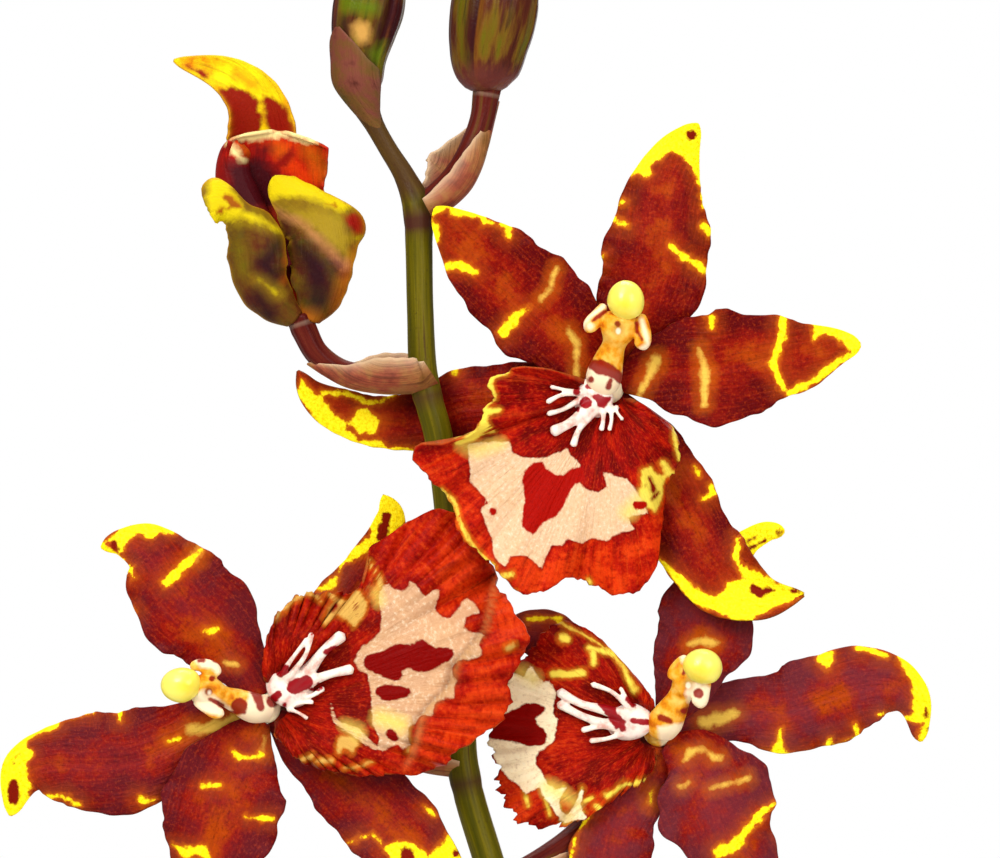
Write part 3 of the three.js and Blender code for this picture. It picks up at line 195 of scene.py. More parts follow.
# Lips spread as fans from a root beside the heart. The outline is angle in degrees, counterclockwise from
# the viewer's right, and radius. A third number is the angle that the outline's ray leaves the root with,
# where it turns aside beyond the waist to pass a notch. Tilt is the rise towards the viewer for each
# millimetre right and up. Teeth and pleats have their depths at the outline's two ends. Folds are angle,
# width and height. Glow is the angle and half width of the brighter red. Beyond its crease, an angle, a
# radius and a height, the margin stands up.
LIPS = {
    "bloom_1": {"root": (-0.4, -0.4, 2.3), "reach": 4.2, "tilt": (-0.33, 0.02), "ruffles": (0.8, 11, 0.6),
        "pleats": (0.12, 0.12), "teeth": (0.28, 0.28), "waist": 20, "glow": (252, 60), "bright": 1,
        "pale": 0.5, "crease": [(160, 20, 0), (336, 20, 0)],
        "folds": [(199, 4, 1.4), (222, 5, -1.2), (247, 5, 1.6), (262, 5, -2), (280, 7, 1.6), (296, 6, -1.2)],
        "outline": [
            (160, 8), (165, 13), (170, 15.4), (176, 18), (183, 16.8), (189, 19), (194, 19.6),
            (198, 21.4, 196.8), (198.6, 24.4, 198), (196, 28.8, 199.2), (198.4, 30.2, 201), (204, 30.1),
            (210, 29.2), (216, 28.4), (223, 30.1), (230, 30.9), (237, 31.4), (244, 32.2), (251, 31.6),
            (259, 28.5), (266, 28.8), (273, 30.8), (280, 29.4), (286, 26.6), (292, 21.4), (298, 18),
            (306, 16), (314, 15), (322, 13.4), (330, 11.2), (336, 6)]},
    "bloom_2": {"root": (0.7, 0.5, 2.3), "reach": 4.4, "tilt": (0.01, -0.09), "ruffles": (0.8, 11, 0.2),
        "pleats": (0.9, 0.7), "teeth": (0.45, 0.4), "waist": 21.5, "glow": (14, 46), "bright": 0,
        "pale": 0.15, "crease": [
            (-26, 21.5, 0), (-18, 22, 0.9), (-5, 22.4, 1.3), (1, 24.2, 1.6), (6, 26.8, 1.6), (13, 28.4, 1.6),
            (19, 33.4, 1.7), (25, 36, 1.4), (32, 39, 0)],
        "folds": [(57, 3, -1.2), (30, 3.4, -3.4), (17, 5, 3), (3, 4, -2.4), (-10, 5, 2), (-24, 5, -1.6)],
        "outline": [
            (100, 6), (92, 10), (87, 13.1), (81, 15), (72.5, 17.5), (64, 18.6, 64.8), (57, 19.7, 58.4),
            (52.6, 21.2, 54.4), (51.8, 22.4, 52.8), (54.5, 25.2, 52), (58, 28, 51.2), (56, 29.6, 50.3),
            (54.6, 32.9, 49.2), (50.3, 37.3, 46.6), (46, 39.3, 43.4), (40, 39.8, 38.6), (33, 39.4),
            (27, 38.6), (20, 39.2), (13, 38.8), (8, 36.6), (1.4, 35.7), (-4, 33.6), (-9, 30.5), (-14, 28.4),
            (-19, 26.6), (-25, 23.6), (-31, 19.6), (-40, 15.6), (-48, 12.5), (-61, 9.1), (-70, 5.9),
            (-78, 4.6)]},
    # Lip 3's cream is painted lighter to make up for the shade it lies in
    "bloom_3": {"root": (-0.7, 0, 2.3), "reach": 4, "tilt": (0.06, 0.02), "ruffles": (0.8, 9, 1),
        "pleats": (0.05, 0.35), "teeth": (0.04, 1.1), "waist": 30, "glow": (198, 50), "bright": 0.2,
        "pale": 1, "crease": [(98, 10, 0), (268, 10, 0)],
        "folds": [(176, 6, -1.4), (206, 6, 1.6), (224, 5, -1.2)], "outline": [
            (98, 5), (106, 7), (113, 9.6), (118, 13), (121, 16.4), (124.5, 19.2), (129, 21.4), (139, 22.6),
            (150, 23), (162, 23.6), (174, 25.2), (184, 24.8), (194, 24.8), (203, 25), (211, 24.8),
            (219, 22.4), (226, 19.4), (232, 15), (240, 10.4), (250, 7.8), (260, 6), (266, 4.4)]}}
LIP_ROOT = 2.9
LIP_CREST = 0.55

# The white callus: where it swells on the lip, and each finger's angle in degrees, length and radius
CALLUS = {
    "bloom_1": {"angle": 206, "out": 3, "radii": (3.5, 1.8, 3.1), "fingers": [
        (181, 8.8, 0.38), (188, 9.5, 0.46), (199, 9.9, 0.5), (221, 10.7, 1), (236, 10, 0.64),
        (257, 6.2, 0.5), (276, 6.1, 0.42), (296, 5, 0.36)]},
    "bloom_2": {"angle": 45, "out": 4.4, "radii": (3.8, 1.8, 3.5), "fingers": [
        (66, 11.8, 0.45), (58, 12.8, 0.5), (42, 15.6, 1.05), (29, 13.8, 0.9), (17, 8.6, 0.5), (2, 6.6, 0.4),
        (-14, 6, 0.38)]},
    "bloom_3": {"angle": 160, "out": 4.8, "radii": (4, 1.8, 2.9), "fingers": [
        (134, 9, 0.4), (140, 12.6, 0.5), (155, 16.4, 0.85), (168, 15.8, 0.8), (176, 11.6, 0.55),
        (183, 10.4, 0.5)]}}
FINGER_SHARES = (0.25, 0.5, 0.75, 1)
FINGER_RADII = (1.5, 1, 0.7, 0.95)
FINGER_HEIGHTS = (0.9, 1.5, 1.7, 1.2)

# Columns from the heart to the anther cap: right, up, towards the viewer, radius
COLUMNS = {
    "bloom_1": {"cap": (2.1, 12.7, 9.2), "cap_size": (2.75, 2.4, 3.15), "wings": [
        [(-2.5, 8.3, 7.8, 0.9), (-2.9, 9.2, 8.2, 1.3), (-2, 10.8, 8.3, 0.95), (-0.9, 12.4, 8.2, 0.6)],
        [(3.9, 5.8, 7.8, 0.9), (4.6, 6.8, 8.2, 1.3), (4.8, 8.8, 8.3, 1), (4.4, 11, 8.2, 0.6)]],
        "rows": [
            (-1.1, -0.6, 2.5, 2), (-1, 1.6, 3.9, 2.7), (-0.2, 4.5, 5.2, 2.15), (0.5, 6.6, 6.4, 1.8),
            (1.1, 8.7, 7.4, 2.8), (1.7, 11, 8, 2.5)]},
    "bloom_2": {"cap": (-12, 3.8, 9.4), "cap_size": (3.2, 2.4, 2.6), "wings": [
        [(-7, 4.9, 8, 0.9), (-7.7, 6, 8.2, 1.3), (-9.4, 6.7, 8.3, 1), (-11, 6.4, 8.2, 0.6)],
        [(-6.2, 0.4, 8, 0.9), (-7, -0.1, 8.2, 1.2), (-8.6, 0.6, 8.3, 1), (-10.4, 1.5, 8.2, 0.6)]],
        "rows": [
            (0.5, -0.4, 2.5, 2), (-1.6, 0.1, 3.9, 2.7), (-4.2, 1.3, 5.2, 2.2), (-6.2, 2.1, 6.4, 1.8),
            (-8.4, 2.9, 7.4, 2.7), (-10.5, 3.4, 8, 2.4)]},
    "bloom_3": {"cap": (5.9, 10, 9.4), "cap_size": (3, 2.4, 2.8), "wings": [
        [(1.8, 7.9, 8, 0.9), (2, 9, 8.2, 1.3), (2.8, 10.6, 8.3, 1), (3.8, 11.6, 8.2, 0.6)],
        [(4.8, 4.2, 8, 0.9), (5.5, 5, 8.2, 1.3), (6.2, 6.6, 8.3, 1), (6.8, 8.2, 8.2, 0.6)]],
        "rows": [
            (-0.2, -0.6, 2.5, 2), (0.5, 1.4, 3.9, 2.7), (1.8, 3.8, 5.2, 2.2), (2.8, 5.8, 6.4, 1.8),
            (4, 7.6, 7.4, 2.7), (5.1, 9.3, 8, 2.4)]}}

# Tepals of the opening bud, measured from the bud's foot like those of the blooms
OPENING_TEPALS = {
    "opening_bud_front_left": {"facing": BACK, "bend": (0.9, 1, 0.5), "wave": (0.2, 2, 0), "rows": [
        (-0.8, 0.4, 1.8, 1.6, 1.9), (-3.2, 2.6, 3.4, 3.2, 4), (-5.6, 6.6, 4.8, 4.2, 5.5),
        (-6.2, 11, 5.2, 4.7, 5.5), (-7.3, 14, 5.4, 3.6, 4.5), (-9, 16.1, 6, 2, 3.2),
        (-10.6, 16.8, 6.6, 3.4, 2.4), (-11.8, 16.9, 7.2, 4.7, 2.2), (-12.8, 16.7, 7.8, 3.9, 2.4),
        (-13.5, 16.4, 8.2, 2.6, 2.2)]},
    "opening_bud_front_right": {"facing": BACK, "bend": (0.9, 0.8, 0.4), "wave": (0.5, 2.3, 0.3), "rows": [
        (0.9, 0.4, 1, 2), (2.5, 3.6, 2.4, 4, 4.6), (3.4, 7.8, 3, 4.6, 5.9), (3.4, 11.4, 3, 5.9, 6.1),
        (3, 14, 2.8, 6.7, 5.8), (1.8, 16.2, 2.8, 4.3, 6), (-0.8, 18.6, 3.4, 2.7, 4.4),
        (-2.8, 20, 3.8, 2.3, 2.6), (-4, 21.6, 4.2, 0.6, 0.8)]},
    "opening_bud_back": {"bend": (0.6, 0.8, 0.5), "wave": (0.4, 2, 0.5), "rows": [
        (-0.6, 1.3, -1.4, 1.6), (-3.4, 10, -5, 4.6), (-5.4, 18, -6.4, 5.6), (-6, 24.3, -6, 5.8),
        (-6.2, 29.6, -5, 5.6, 5.7), (-8, 34, -3.6, 4.5, 4.6), (-12, 37.2, -2, 2.8, 3),
        (-19.2, 39.2, -0.4, 0.5)]},
    "opening_bud_inner": {"bend": (0.6, 0.9, 1), "wave": (0.7, 2.5, 1), "rows": [
        (0.2, 1.8, -0.2, 1.4), (-1.4, 10, -2.4, 4.6), (-3.1, 18, -3.4, 7.4), (-3.7, 24, -2.6, 9, 8.8),
        (-3.6, 27.4, -1.8, 8.6, 9.1), (-3.5, 28.6, -1.4, 7.8, 8.8)]},
    "opening_bud_inner_fold": {"facing": BACK, "node": "opening_bud_inner", "bend": (0.6, 1.2, 1.7),
        "wave": (0.5, 2, 1), "rows": [
            (-2.4, 8, 1, 1.4), (-6, 14, 1.6, 2.6, 3), (-9, 19, 1.6, 3.4, 4), (-10.2, 22.4, 1.4, 3.6, 4),
            (-10.2, 25, 1.2, 3.6, 3.2), (-9.2, 26.6, 1.4, 3, 2.4)]}}

# Closed buds: x, y, z, radius
CLOSED_BUDS = {
    "upper_bud": [
        (-4.3, 0, 514.7, 2.3), (-4.3, 0, 517.4, 4.7), (-3.9, 0, 521.8, 5.8), (-3.3, 0, 525.4, 6.25),
        (-2.7, 0, 529, 6.2), (-1.6, 0, 534.2, 4.9), (-0.6, 0, 539, 2.6), (0, 0, 542, 0.7)],
    "last_bud": [
        (-22.4, 0, 512.8, 2.1), (-23.3, 0, 516, 3.4), (-23.3, 0, 519.6, 3.8), (-22.7, 0, 524.2, 4.7),
        (-21.9, 0, 528, 5.1), (-21, 0, 532.4, 4.4), (-19.9, 0, 537, 2.2), (-19.2, 0, 539.8, 0.6)]}

# The turn in radians at which one sepal of a closed bud overlaps the next
SEPAL_EDGE = {"upper_bud": -1.94, "last_bud": -0.75}

# Pseudobulbs: foot x and y, height above the foot, widest half width
BULBS = {
    "pseudobulb_front": {"at": (0, -11), "height": 74, "half": 19},
    "pseudobulb_left": {"at": (-25, 16), "height": 65, "half": 16.5},
    "pseudobulb_right": {"at": (24, 19), "height": 58, "half": 15.5},
}
BULB_FOOT = 82
BULB_FLATTEN = 0.6
BULB_FORM = [(0, 0.5), (0.12, 0.84), (0.34, 1), (0.6, 0.88), (0.82, 0.52), (0.95, 0.27), (1, 0.2)]

# Strap leaves on the bulbs' tips, and sheath leaves at their feet: heading in degrees round the pot,
# length, lean from upright at the root and at the tip, half width
LEAVES = {
    "leaf_front_left": ("pseudobulb_front", 196, 262, (5, 92), 17),
    "leaf_front_right": ("pseudobulb_front", -46, 240, (7, 98), 16),
    "leaf_left_back": ("pseudobulb_left", 118, 236, (5, 84), 15),
    "leaf_right_back": ("pseudobulb_right", 62, 222, (5, 88), 14.5),
    "sheath_leaf_left": ("pseudobulb_left", 176, 228, (8, 92), 14.5),
    "sheath_leaf_right": ("pseudobulb_right", 8, 214, (8, 94), 14),
    "sheath_leaf_front": ("pseudobulb_front", 214, 168, (10, 88), 13),
}
LEAF_THICKNESS = 1.0
BARK_TOP = 90

# The marks are traced on enlarged views of the photograph. A view is its left and top in photo
# pixels and how many times it is enlarged. Points of two numbers outline an area, and points of three
# numbers run along a streak with its width at each. The marks of a column hold the spots of its callus too.
WHOLE = (0, 0, 1)
BLOOM_1_SEPAL_VIEW = (635, 515, 9.5)
BLOOM_1_COLUMN_VIEW = (575, 280, 12.06)
BLOOM_2_VIEW = (0, 520, 4.64)
BLOOM_2_LIP_VIEW = (265, 495, 5.6)
BLOOM_2_SEPAL_VIEW = (300, 720, 8.71)
BLOOM_3_LIP_VIEW = (470, 600, 6.08)
BLOOM_3_VIEW = (650, 640, 5.41)
OPENING_BUD_VIEW = (165, 50, 5.5)
THROAT_VIEW = (200, 120, 7.29)

BLOOM_3_UPPER_BARS = [
    [(345, 118, 18), (450, 108, 20), (545, 112, 16)], [(565, 232, 54), (582, 240, 46)],
    [(720, 292, 26), (790, 305, 30), (865, 322, 30)], [(750, 310, 30), (750, 385, 34)],
    [(505, 455, 40), (600, 450, 44), (685, 440, 40)],
    [(540, 130, 8), (610, 180, 8), (730, 230, 8), (850, 310, 8), (925, 400, 12), (960, 480, 20),
     (1005, 550, 20)]]
MARKS = {
    "bloom_1_dorsal_sepal": {WHOLE: {"yellow": [
        [(633, 177), (637, 174), (645, 177), (651, 174), (651, 165), (658, 160), (663, 159), (666, 153),
         (672, 150), (683, 155), (688, 163), (695, 174), (700, 188), (702, 208), (720, 208), (720, 110),
         (660, 110), (620, 170)],
        [(612, 206, 5), (624, 203, 5)], [(610, 218, 6), (628, 227, 2)],
        [(602, 257, 4), (599, 264, 2), (596, 270, 1.5)], [(703, 226, 7), (709, 233, 7)],
        [(669, 245, 3), (683, 257, 6), (705, 270, 8)]],
        "spots": [[(692, 134, 10)]]}},
    "bloom_1_right_petal": {WHOLE: {"yellow": [
        [(782, 319, 8), (781, 338, 6), (773, 363, 7), (783, 388, 6)],
        [(848, 356, 6), (829, 368, 6), (815, 380, 6), (790, 393, 6)], [(711, 317, 5), (711, 326, 5)],
        [(794, 312), (812, 326), (814, 340), (818, 338), (824, 334), (836, 337), (851, 351), (850, 358),
         (872, 356), (868, 326), (840, 312)]],
        "amber": [
            [(700, 348, 3), (705, 372, 9), (704, 405, 4)], [(656, 359, 9), (649, 376, 8), (638, 399, 4)]]}},
    "bloom_1_left_petal": {WHOLE: {"yellow": [
        [(430, 216), (448, 209), (452, 215), (462, 215), (471, 217), (478, 216), (482, 225), (488, 221),
         (473, 207), (448, 196), (430, 202)],
        [(485, 221, 2.5), (498, 224, 2), (509, 226, 5), (508, 236, 5)],
        [(433, 222, 5), (437, 236, 5), (434, 250, 5), (442, 266, 2.5)],
        [(443, 268, 5), (460, 265, 7), (476, 272, 3)], [(504, 333, 8), (517, 315, 9), (527, 308, 4)]],
        "amber": [
            [(541, 298, 3), (551, 288, 3), (556, 268, 2)], [(569, 331, 6), (577, 343, 5), (576, 379, 2)]]}},
    "bloom_1_left_sepal": {WHOLE: {"yellow": [
        [(301, 380), (313, 392), (321, 396), (328, 409), (342, 420), (346, 429), (359, 440), (379, 441),
         (387, 447), (415, 450), (415, 462), (370, 455), (342, 444), (318, 424), (304, 406), (296, 392)],
        [(357, 409), (366, 409), (374, 416), (379, 422), (374, 433), (360, 433), (346, 423), (356, 417)],
        [(322, 392, 4), (342, 392, 4), (356, 396, 4), (366, 403, 4), (379, 402, 4), (393, 395, 4)],
        [(456, 371, 6)]],
        "amber": [[(362, 420, 12)]]}},
    "bloom_1_right_sepal": {BLOOM_1_SEPAL_VIEW: {"yellow": [
        [(230, 420), (420, 560), (500, 620), (560, 700), (640, 740), (760, 770), (840, 730), (880, 640),
         (1060, 620), (1000, 530), (950, 420), (940, 350), (965, 220), (1000, 220), (1000, 470), (1150, 530),
         (1350, 630), (1600, 700), (1600, 760), (1400, 850), (1200, 950), (1120, 1000), (940, 990),
         (680, 900), (470, 770), (360, 600)],
        [(570, -440, 36), (600, -370, 36)], [(722, -275, 60), (740, -210, 60), (665, -160, 60)]],
        "spots": [
            [(1110, 645), (1200, 690), (1330, 690), (1355, 710), (1280, 740), (1200, 780), (1110, 750),
             (1095, 700)],
            [(1500, 712, 24), (1570, 716, 24)]]}},
    "bloom_2_dorsal_sepal": {BLOOM_2_VIEW: {"yellow": [
        [(272, 935), (190, 930), (60, 1010), (-20, 1200), (-20, 1420), (110, 1420), (100, 1330), (130, 1312),
         (200, 1292), (260, 1282), (330, 1304), (375, 1340), (380, 1320), (300, 1274), (200, 1272),
         (150, 1290), (128, 1280), (142, 1230), (130, 1170), (124, 1120), (152, 1078), (130, 1050),
         (136, 1020), (180, 990), (230, 970), (274, 955)],
        [(270, 935, 14), (330, 905, 12), (430, 885, 16)], [(555, 866, 32), (558, 928, 12)],
        [(648, 1290, 28), (665, 1312, 22), (720, 1297, 6)], [(778, 1025, 14), (830, 1015, 22)]],
        "amber": [[(880, 975, 40), (1000, 960, 60), (1090, 930, 50)]], "spots": [
            [(65, 1200), (92, 1225), (90, 1270), (75, 1320), (50, 1310), (40, 1260), (45, 1215)],
            [(78, 1092, 22), (98, 1080, 10)], [(70, 1130, 24)]]}},
    "bloom_2_upper_petal": {BLOOM_2_VIEW: {"yellow": [
        [(500, 100), (560, 40), (620, 15), (700, 0), (800, 10), (810, 62), (740, 58), (720, 75), (700, 88),
         (685, 85), (670, 66), (640, 65), (610, 75), (592, 95), (572, 130), (560, 152), (540, 120),
         (530, 95)],
        [(465, 115, 30), (520, 150, 34), (585, 190, 8)],
        [(925, 140, 20), (900, 180, 30), (850, 215, 44), (820, 245, 40), (770, 287, 38)],
        [(605, 228, 24), (620, 262, 16)], [(603, 415, 16), (622, 432, 14)],
        [(945, 520, 14), (980, 518, 28), (1012, 508, 16)]],
        "amber": [[(930, 120, 30), (905, 175, 46)], [(1050, 660, 14), (1095, 670, 14)]],
        "spots": [[(510, 118), (525, 92), (545, 100), (553, 130), (545, 150), (525, 140)]]}},
    "bloom_2_lower_petal": {BLOOM_2_VIEW: {"yellow": [
        [(1085, 1072, 10), (1110, 1098, 18), (1150, 1106, 22), (1200, 1100, 20), (1218, 1085, 16)],
        [(945, 1238, 14), (985, 1230, 28), (1020, 1228, 12)],
        [(1140, 1374, 6), (1210, 1382, 16), (1270, 1386, 8)],
        [(808, 1505), (870, 1516), (952, 1505), (975, 1570), (985, 1620), (950, 1560), (900, 1545),
         (850, 1570), (832, 1545)],
        [(740, 1860), (790, 1750), (850, 1715), (930, 1760), (930, 1900)]],
        "amber": [[(1218, 1085, 14), (1228, 1010, 14)]], "spots": [[(845, 1790, 26)]]}},
    "bloom_2_upper_sepal": {BLOOM_2_LIP_VIEW: {"yellow": [
        [(280, 530), (400, 460), (430, 360), (590, 230), (590, -30), (730, -40), (810, 120), (700, 240),
         (590, 290), (575, 320), (480, 368), (440, 375), (402, 480), (380, 540)]],
        "spots": [[(655, 85), (700, 95), (705, 170), (680, 240), (620, 262), (640, 180)]]}},
    "bloom_2_lower_sepal": {BLOOM_2_SEPAL_VIEW: {"yellow": [
        [(720, 1112), (820, 1080), (900, 1070), (990, 1075), (1050, 1110), (1112, 1195), (1112, 1290),
         (840, 1290), (770, 1170)],
        [(1125, 1195), (1200, 1112), (1270, 1060), (1292, 985), (1370, 1000), (1480, 1150), (1480, 1400),
         (1180, 1400)],
        [(1095, 772, 16), (1150, 798, 22), (1180, 830, 10)],
        [(380, 1105, 8), (450, 1070, 10), (530, 1020, 10), (630, 1000, 10), (690, 1040, 12),
         (720, 1110, 12)]],
        "spots": [[(868, 1120), (930, 1104), (990, 1140), (1000, 1250), (870, 1250)], [(1360, 1160, 60)]]}},
    "bloom_3_dorsal_sepal": {BLOOM_3_VIEW: {"yellow": [
        [(1340, 88), (1400, 90), (1500, 140), (1580, 250), (1600, 400), (1580, 560), (1480, 600),
         (1445, 560), (1475, 450), (1430, 442), (1350, 422), (1300, 402), (1235, 404), (1300, 392),
         (1420, 418), (1412, 370), (1430, 300), (1410, 220), (1370, 155)],
        [(1120, 45, 20), (1200, 55, 20), (1240, 75, 22), (1285, 88, 20)],
        [(895, 112), (930, 74), (985, 70), (992, 130), (962, 160), (940, 142)],
        [(690, 612, 62), (697, 560, 34), (708, 484, 8)], [(955, 580, 36), (975, 530, 6)],
        [(1125, 508, 34), (1106, 456, 8)],
        [(620, 605, 10), (740, 622, 6), (860, 612, 5), (950, 585, 6), (1060, 545, 5), (1150, 500, 6)]],
        "amber": [[(290, 440, 60), (400, 420, 60), (470, 390, 30)]],
        "spots": [[(1490, 365, 30), (1493, 405, 34)], [(1498, 480, 22)]]}},
    "bloom_3_upper_petal": {BLOOM_1_SEPAL_VIEW: {"yellow": [
        [(930, 180), (1000, 150), (1060, 110), (1150, 50), (1250, 50), (1350, 40), (1440, 90), (1520, 260),
         (1400, 300), (1250, 330), (1130, 380), (1060, 410), (1030, 330), (1040, 270), (980, 240)]],
        "amber": [[(520, 1225, 40), (580, 1195, 60), (650, 1185, 60), (760, 1215, 50)]], "spots": [
            [(1070, 245, 40), (1165, 190, 26)], [(1095, 315, 50), (1235, 243, 30)], [(1385, 160, 60)]]}},
    "bloom_3_lower_petal": {BLOOM_3_VIEW: {"yellow": [
        [(700, 870, 8), (640, 910, 18), (590, 952, 42), (550, 992, 38), (510, 1042, 32), (480, 1085, 56),
         (440, 1120, 60), (375, 1140, 56)],
        [(705, 1030, 18), (745, 1085, 26), (775, 1150, 30), (780, 1300, 60)]],
        "amber": [
            [(195, 645, 22), (215, 605, 26), (262, 590, 24), (305, 600, 22), (345, 632, 28), (385, 632, 20)],
            [(165, 790, 12), (205, 775, 14)], [(330, 802, 12), (430, 775, 12), (530, 745, 20)]],
        "spots": [[(640, 1330, 60)]]}},
    "bloom_3_upper_sepal": {BLOOM_3_LIP_VIEW: {"yellow": BLOOM_3_UPPER_BARS, "amber": [[(690, 335, 30)]]}},
    "bloom_3_lower_sepal": {BLOOM_3_LIP_VIEW: {"yellow": [
        [(735, 1290, 12), (680, 1370, 14), (640, 1450, 18), (612, 1568, 24), (640, 1760, 60)],
        [(1098, 1170, 16), (1092, 1240, 12)], [(700, 1900, 120), (760, 1850, 90)]],
        "amber": [[(1098, 1180, 26), (1092, 1240, 20)]]}},
    "bloom_1_lip": {WHOLE: {"cream": [
        [(467, 444), (509, 442), (511, 452), (522, 458), (543, 458), (553, 455), (566, 449), (570, 456),
         (580, 465), (578, 482), (587, 490), (599, 492), (607, 488), (603, 473), (628, 480), (637, 492),
         (647, 513), (626, 517), (633, 529), (616, 534), (607, 541), (591, 537), (580, 543), (566, 539),
         (561, 546), (551, 545), (545, 557), (540, 569), (532, 561), (526, 555), (509, 557), (505, 568),
         (494, 557), (492, 540), (485, 524), (480, 508), (488, 503), (483, 496), (469, 481), (469, 467)]],
        "blotch": [
            [(532, 463), (542, 462), (545, 469), (556, 475), (562, 476), (571, 469), (583, 467), (584, 481),
             (574, 485), (568, 494), (563, 507), (555, 517), (542, 523), (532, 535), (522, 528), (522, 513),
             (525, 502), (522, 484), (522, 473)],
            [(492, 511, 8)], [(636, 505, 8), (642, 505, 8)]],
        "yellow": [
            [(640, 470), (650, 466), (657, 474), (667, 474), (662, 486), (660, 500), (654, 512), (644, 506),
             (637, 496), (641, 484)],
            [(662, 463, 5), (668, 472, 6), (676, 478, 5)], [(673, 425, 4), (674, 440, 4), (679, 458, 4)],
            [(507, 372, 4), (492, 377, 6), (487, 384, 7), (492, 396, 8), (484, 405, 6), (484, 413, 8),
             (498, 411, 5)],
            [(484, 413, 6), (483, 424, 7), (492, 430, 4)], [(482, 427, 6), (474, 436, 6), (457, 441, 6)],
            [(453, 500, 3), (459, 520, 3), (466, 537, 4), (480, 556, 4), (494, 567, 5)],
            [(441, 490, 3), (452, 500, 4)], [(499, 578, 5), (511, 574, 5)], [(515, 593, 4)],
            [(588, 579, 3), (591, 584, 3)]],
        "amber": [[(462, 446, 10), (476, 450, 12), (500, 444, 8)], [(628, 512, 14), (640, 500, 14)]],
        "specks": [[(648, 478, 4), (652, 490, 5)], [(657, 492, 3), (650, 500, 4)], [(644, 486, 3)]]}},
    "bloom_2_lip": {BLOOM_2_LIP_VIEW: {"cream": [
        [(500, 930), (540, 850), (600, 812), (642, 770), (656, 690), (640, 600), (640, 540), (668, 520),
         (670, 482), (700, 500), (725, 532), (780, 540), (802, 515), (822, 478), (850, 510), (872, 550),
         (905, 566), (930, 532), (980, 535), (962, 580), (950, 625), (962, 662), (992, 690), (1036, 696),
         (1062, 660), (1100, 612), (1140, 580), (1172, 612), (1190, 650), (1205, 668), (1160, 676),
         (1122, 700), (1114, 742), (1150, 766), (1240, 782), (1205, 840), (1220, 880), (1150, 916),
         (1080, 930), (1052, 962), (1056, 1010), (1080, 1040), (1062, 1090), (1062, 1130), (1010, 1140),
         (960, 1172), (942, 1240), (880, 1236), (850, 1270), (810, 1302), (800, 1350), (820, 1400),
         (770, 1420), (745, 1400), (700, 1398), (660, 1440), (610, 1420), (640, 1385), (640, 1350),
         (602, 1280), (600, 1150), (590, 1060), (575, 1000), (530, 980)],
        [(378, 1175, 10), (385, 1230, 12), (400, 1275, 22), (450, 1300, 30), (510, 1330, 50),
         (560, 1370, 40), (620, 1415, 30)]],
        "blotch": [
            [(555, 940), (570, 900), (620, 885), (680, 870), (720, 840), (770, 830), (820, 845), (850, 820),
             (890, 815), (930, 835), (960, 855), (1010, 850), (1055, 870), (1062, 900), (1040, 920),
             (990, 940), (950, 965), (900, 990), (850, 990), (820, 970), (790, 970), (770, 985), (775, 1020),
             (750, 1040), (710, 1040), (650, 1010), (590, 985), (560, 965)],
            [(620, 1100), (630, 1075), (680, 1063), (760, 1070), (810, 1085), (820, 1105), (800, 1130),
             (740, 1145), (690, 1152), (650, 1140), (625, 1120)],
            [(670, 1330), (700, 1310), (740, 1330), (760, 1360), (730, 1385), (690, 1360)]],
        "yellow": [
            [(362, 533), (400, 575), (455, 600), (485, 580), (498, 540), (540, 548), (552, 588), (574, 596),
             (560, 660), (500, 740), (455, 690), (400, 672), (335, 728), (330, 700), (350, 650), (375, 605),
             (392, 590), (350, 560)],
            [(250, 560, 12), (290, 570, 12), (312, 595, 10)],
            [(585, 375, 20), (620, 430, 24), (645, 490, 34), (665, 530, 30)],
            [(60, 700, 12), (100, 640, 12), (160, 590, 14), (200, 570, 12), (250, 545, 14), (300, 520, 12),
             (350, 515, 12)],
            [(410, 1375), (430, 1360), (480, 1350), (520, 1370), (525, 1395), (500, 1420), (490, 1450),
             (470, 1430), (440, 1420), (415, 1450), (405, 1440)],
            [(215, 1475, 16), (260, 1462, 20)], [(300, 1492, 20), (365, 1490, 26)],
            [(440, 1530, 6), (520, 1520, 8), (560, 1510, 6), (600, 1500, 6)],
            [(790, 1300, 16), (810, 1380, 24), (800, 1425, 14)], [(1355, 855, 24), (1395, 835, 22)]],
        "amber": [
            [(620, 540, 50), (640, 600, 40)], [(650, 1250, 90), (760, 1290, 90)],
            [(520, 1330, 70), (450, 1290, 40)]],
        "specks": [[(497, 640, 14), (514, 612, 18)], [(512, 668, 14)], [(375, 650, 30), (395, 620, 34)]]}},
    "bloom_3_lip": {BLOOM_3_LIP_VIEW: {"cream": [
        [(0, 400), (245, 430), (290, 450), (330, 470), (350, 420), (370, 400), (395, 440), (420, 480),
         (450, 500), (480, 490), (510, 530), (530, 560), (520, 600), (510, 640), (505, 690), (530, 730),
         (520, 800), (510, 860), (480, 890), (420, 920), (400, 960), (400, 1000), (430, 1030), (450, 1070),
         (480, 1130), (520, 1155), (592, 1135), (570, 1170), (545, 1200), (540, 1260), (570, 1290),
         (600, 1300), (630, 1240), (670, 1160), (684, 1140), (685, 1180), (675, 1240), (690, 1290),
         (712, 1320), (690, 1332), (620, 1340), (580, 1350), (545, 1330), (500, 1260), (480, 1230),
         (440, 1180), (430, 1130), (400, 1160), (370, 1170), (340, 1190), (330, 1160), (280, 1110),
         (230, 1070), (190, 1030), (150, 960), (130, 900), (0, 880)]],
        "blotch": [
            [(60, 740), (180, 700), (230, 680), (290, 660), (350, 630), (400, 630), (470, 660), (440, 690),
             (400, 720), (410, 750), (450, 780), (475, 830), (460, 870), (420, 890), (370, 890), (310, 870),
             (230, 860), (150, 850), (60, 830)]],
        "yellow": [
            *BLOOM_3_UPPER_BARS, [(770, 1250, 30), (790, 1270, 26)],
            [(342, 1028, 14), (335, 1150, 20), (352, 1250, 16)],
            [(445, 1107, 14), (461, 1200, 20), (485, 1296, 16)],
            [(572, 1138, 20), (524, 1217, 24), (572, 1344, 28)],
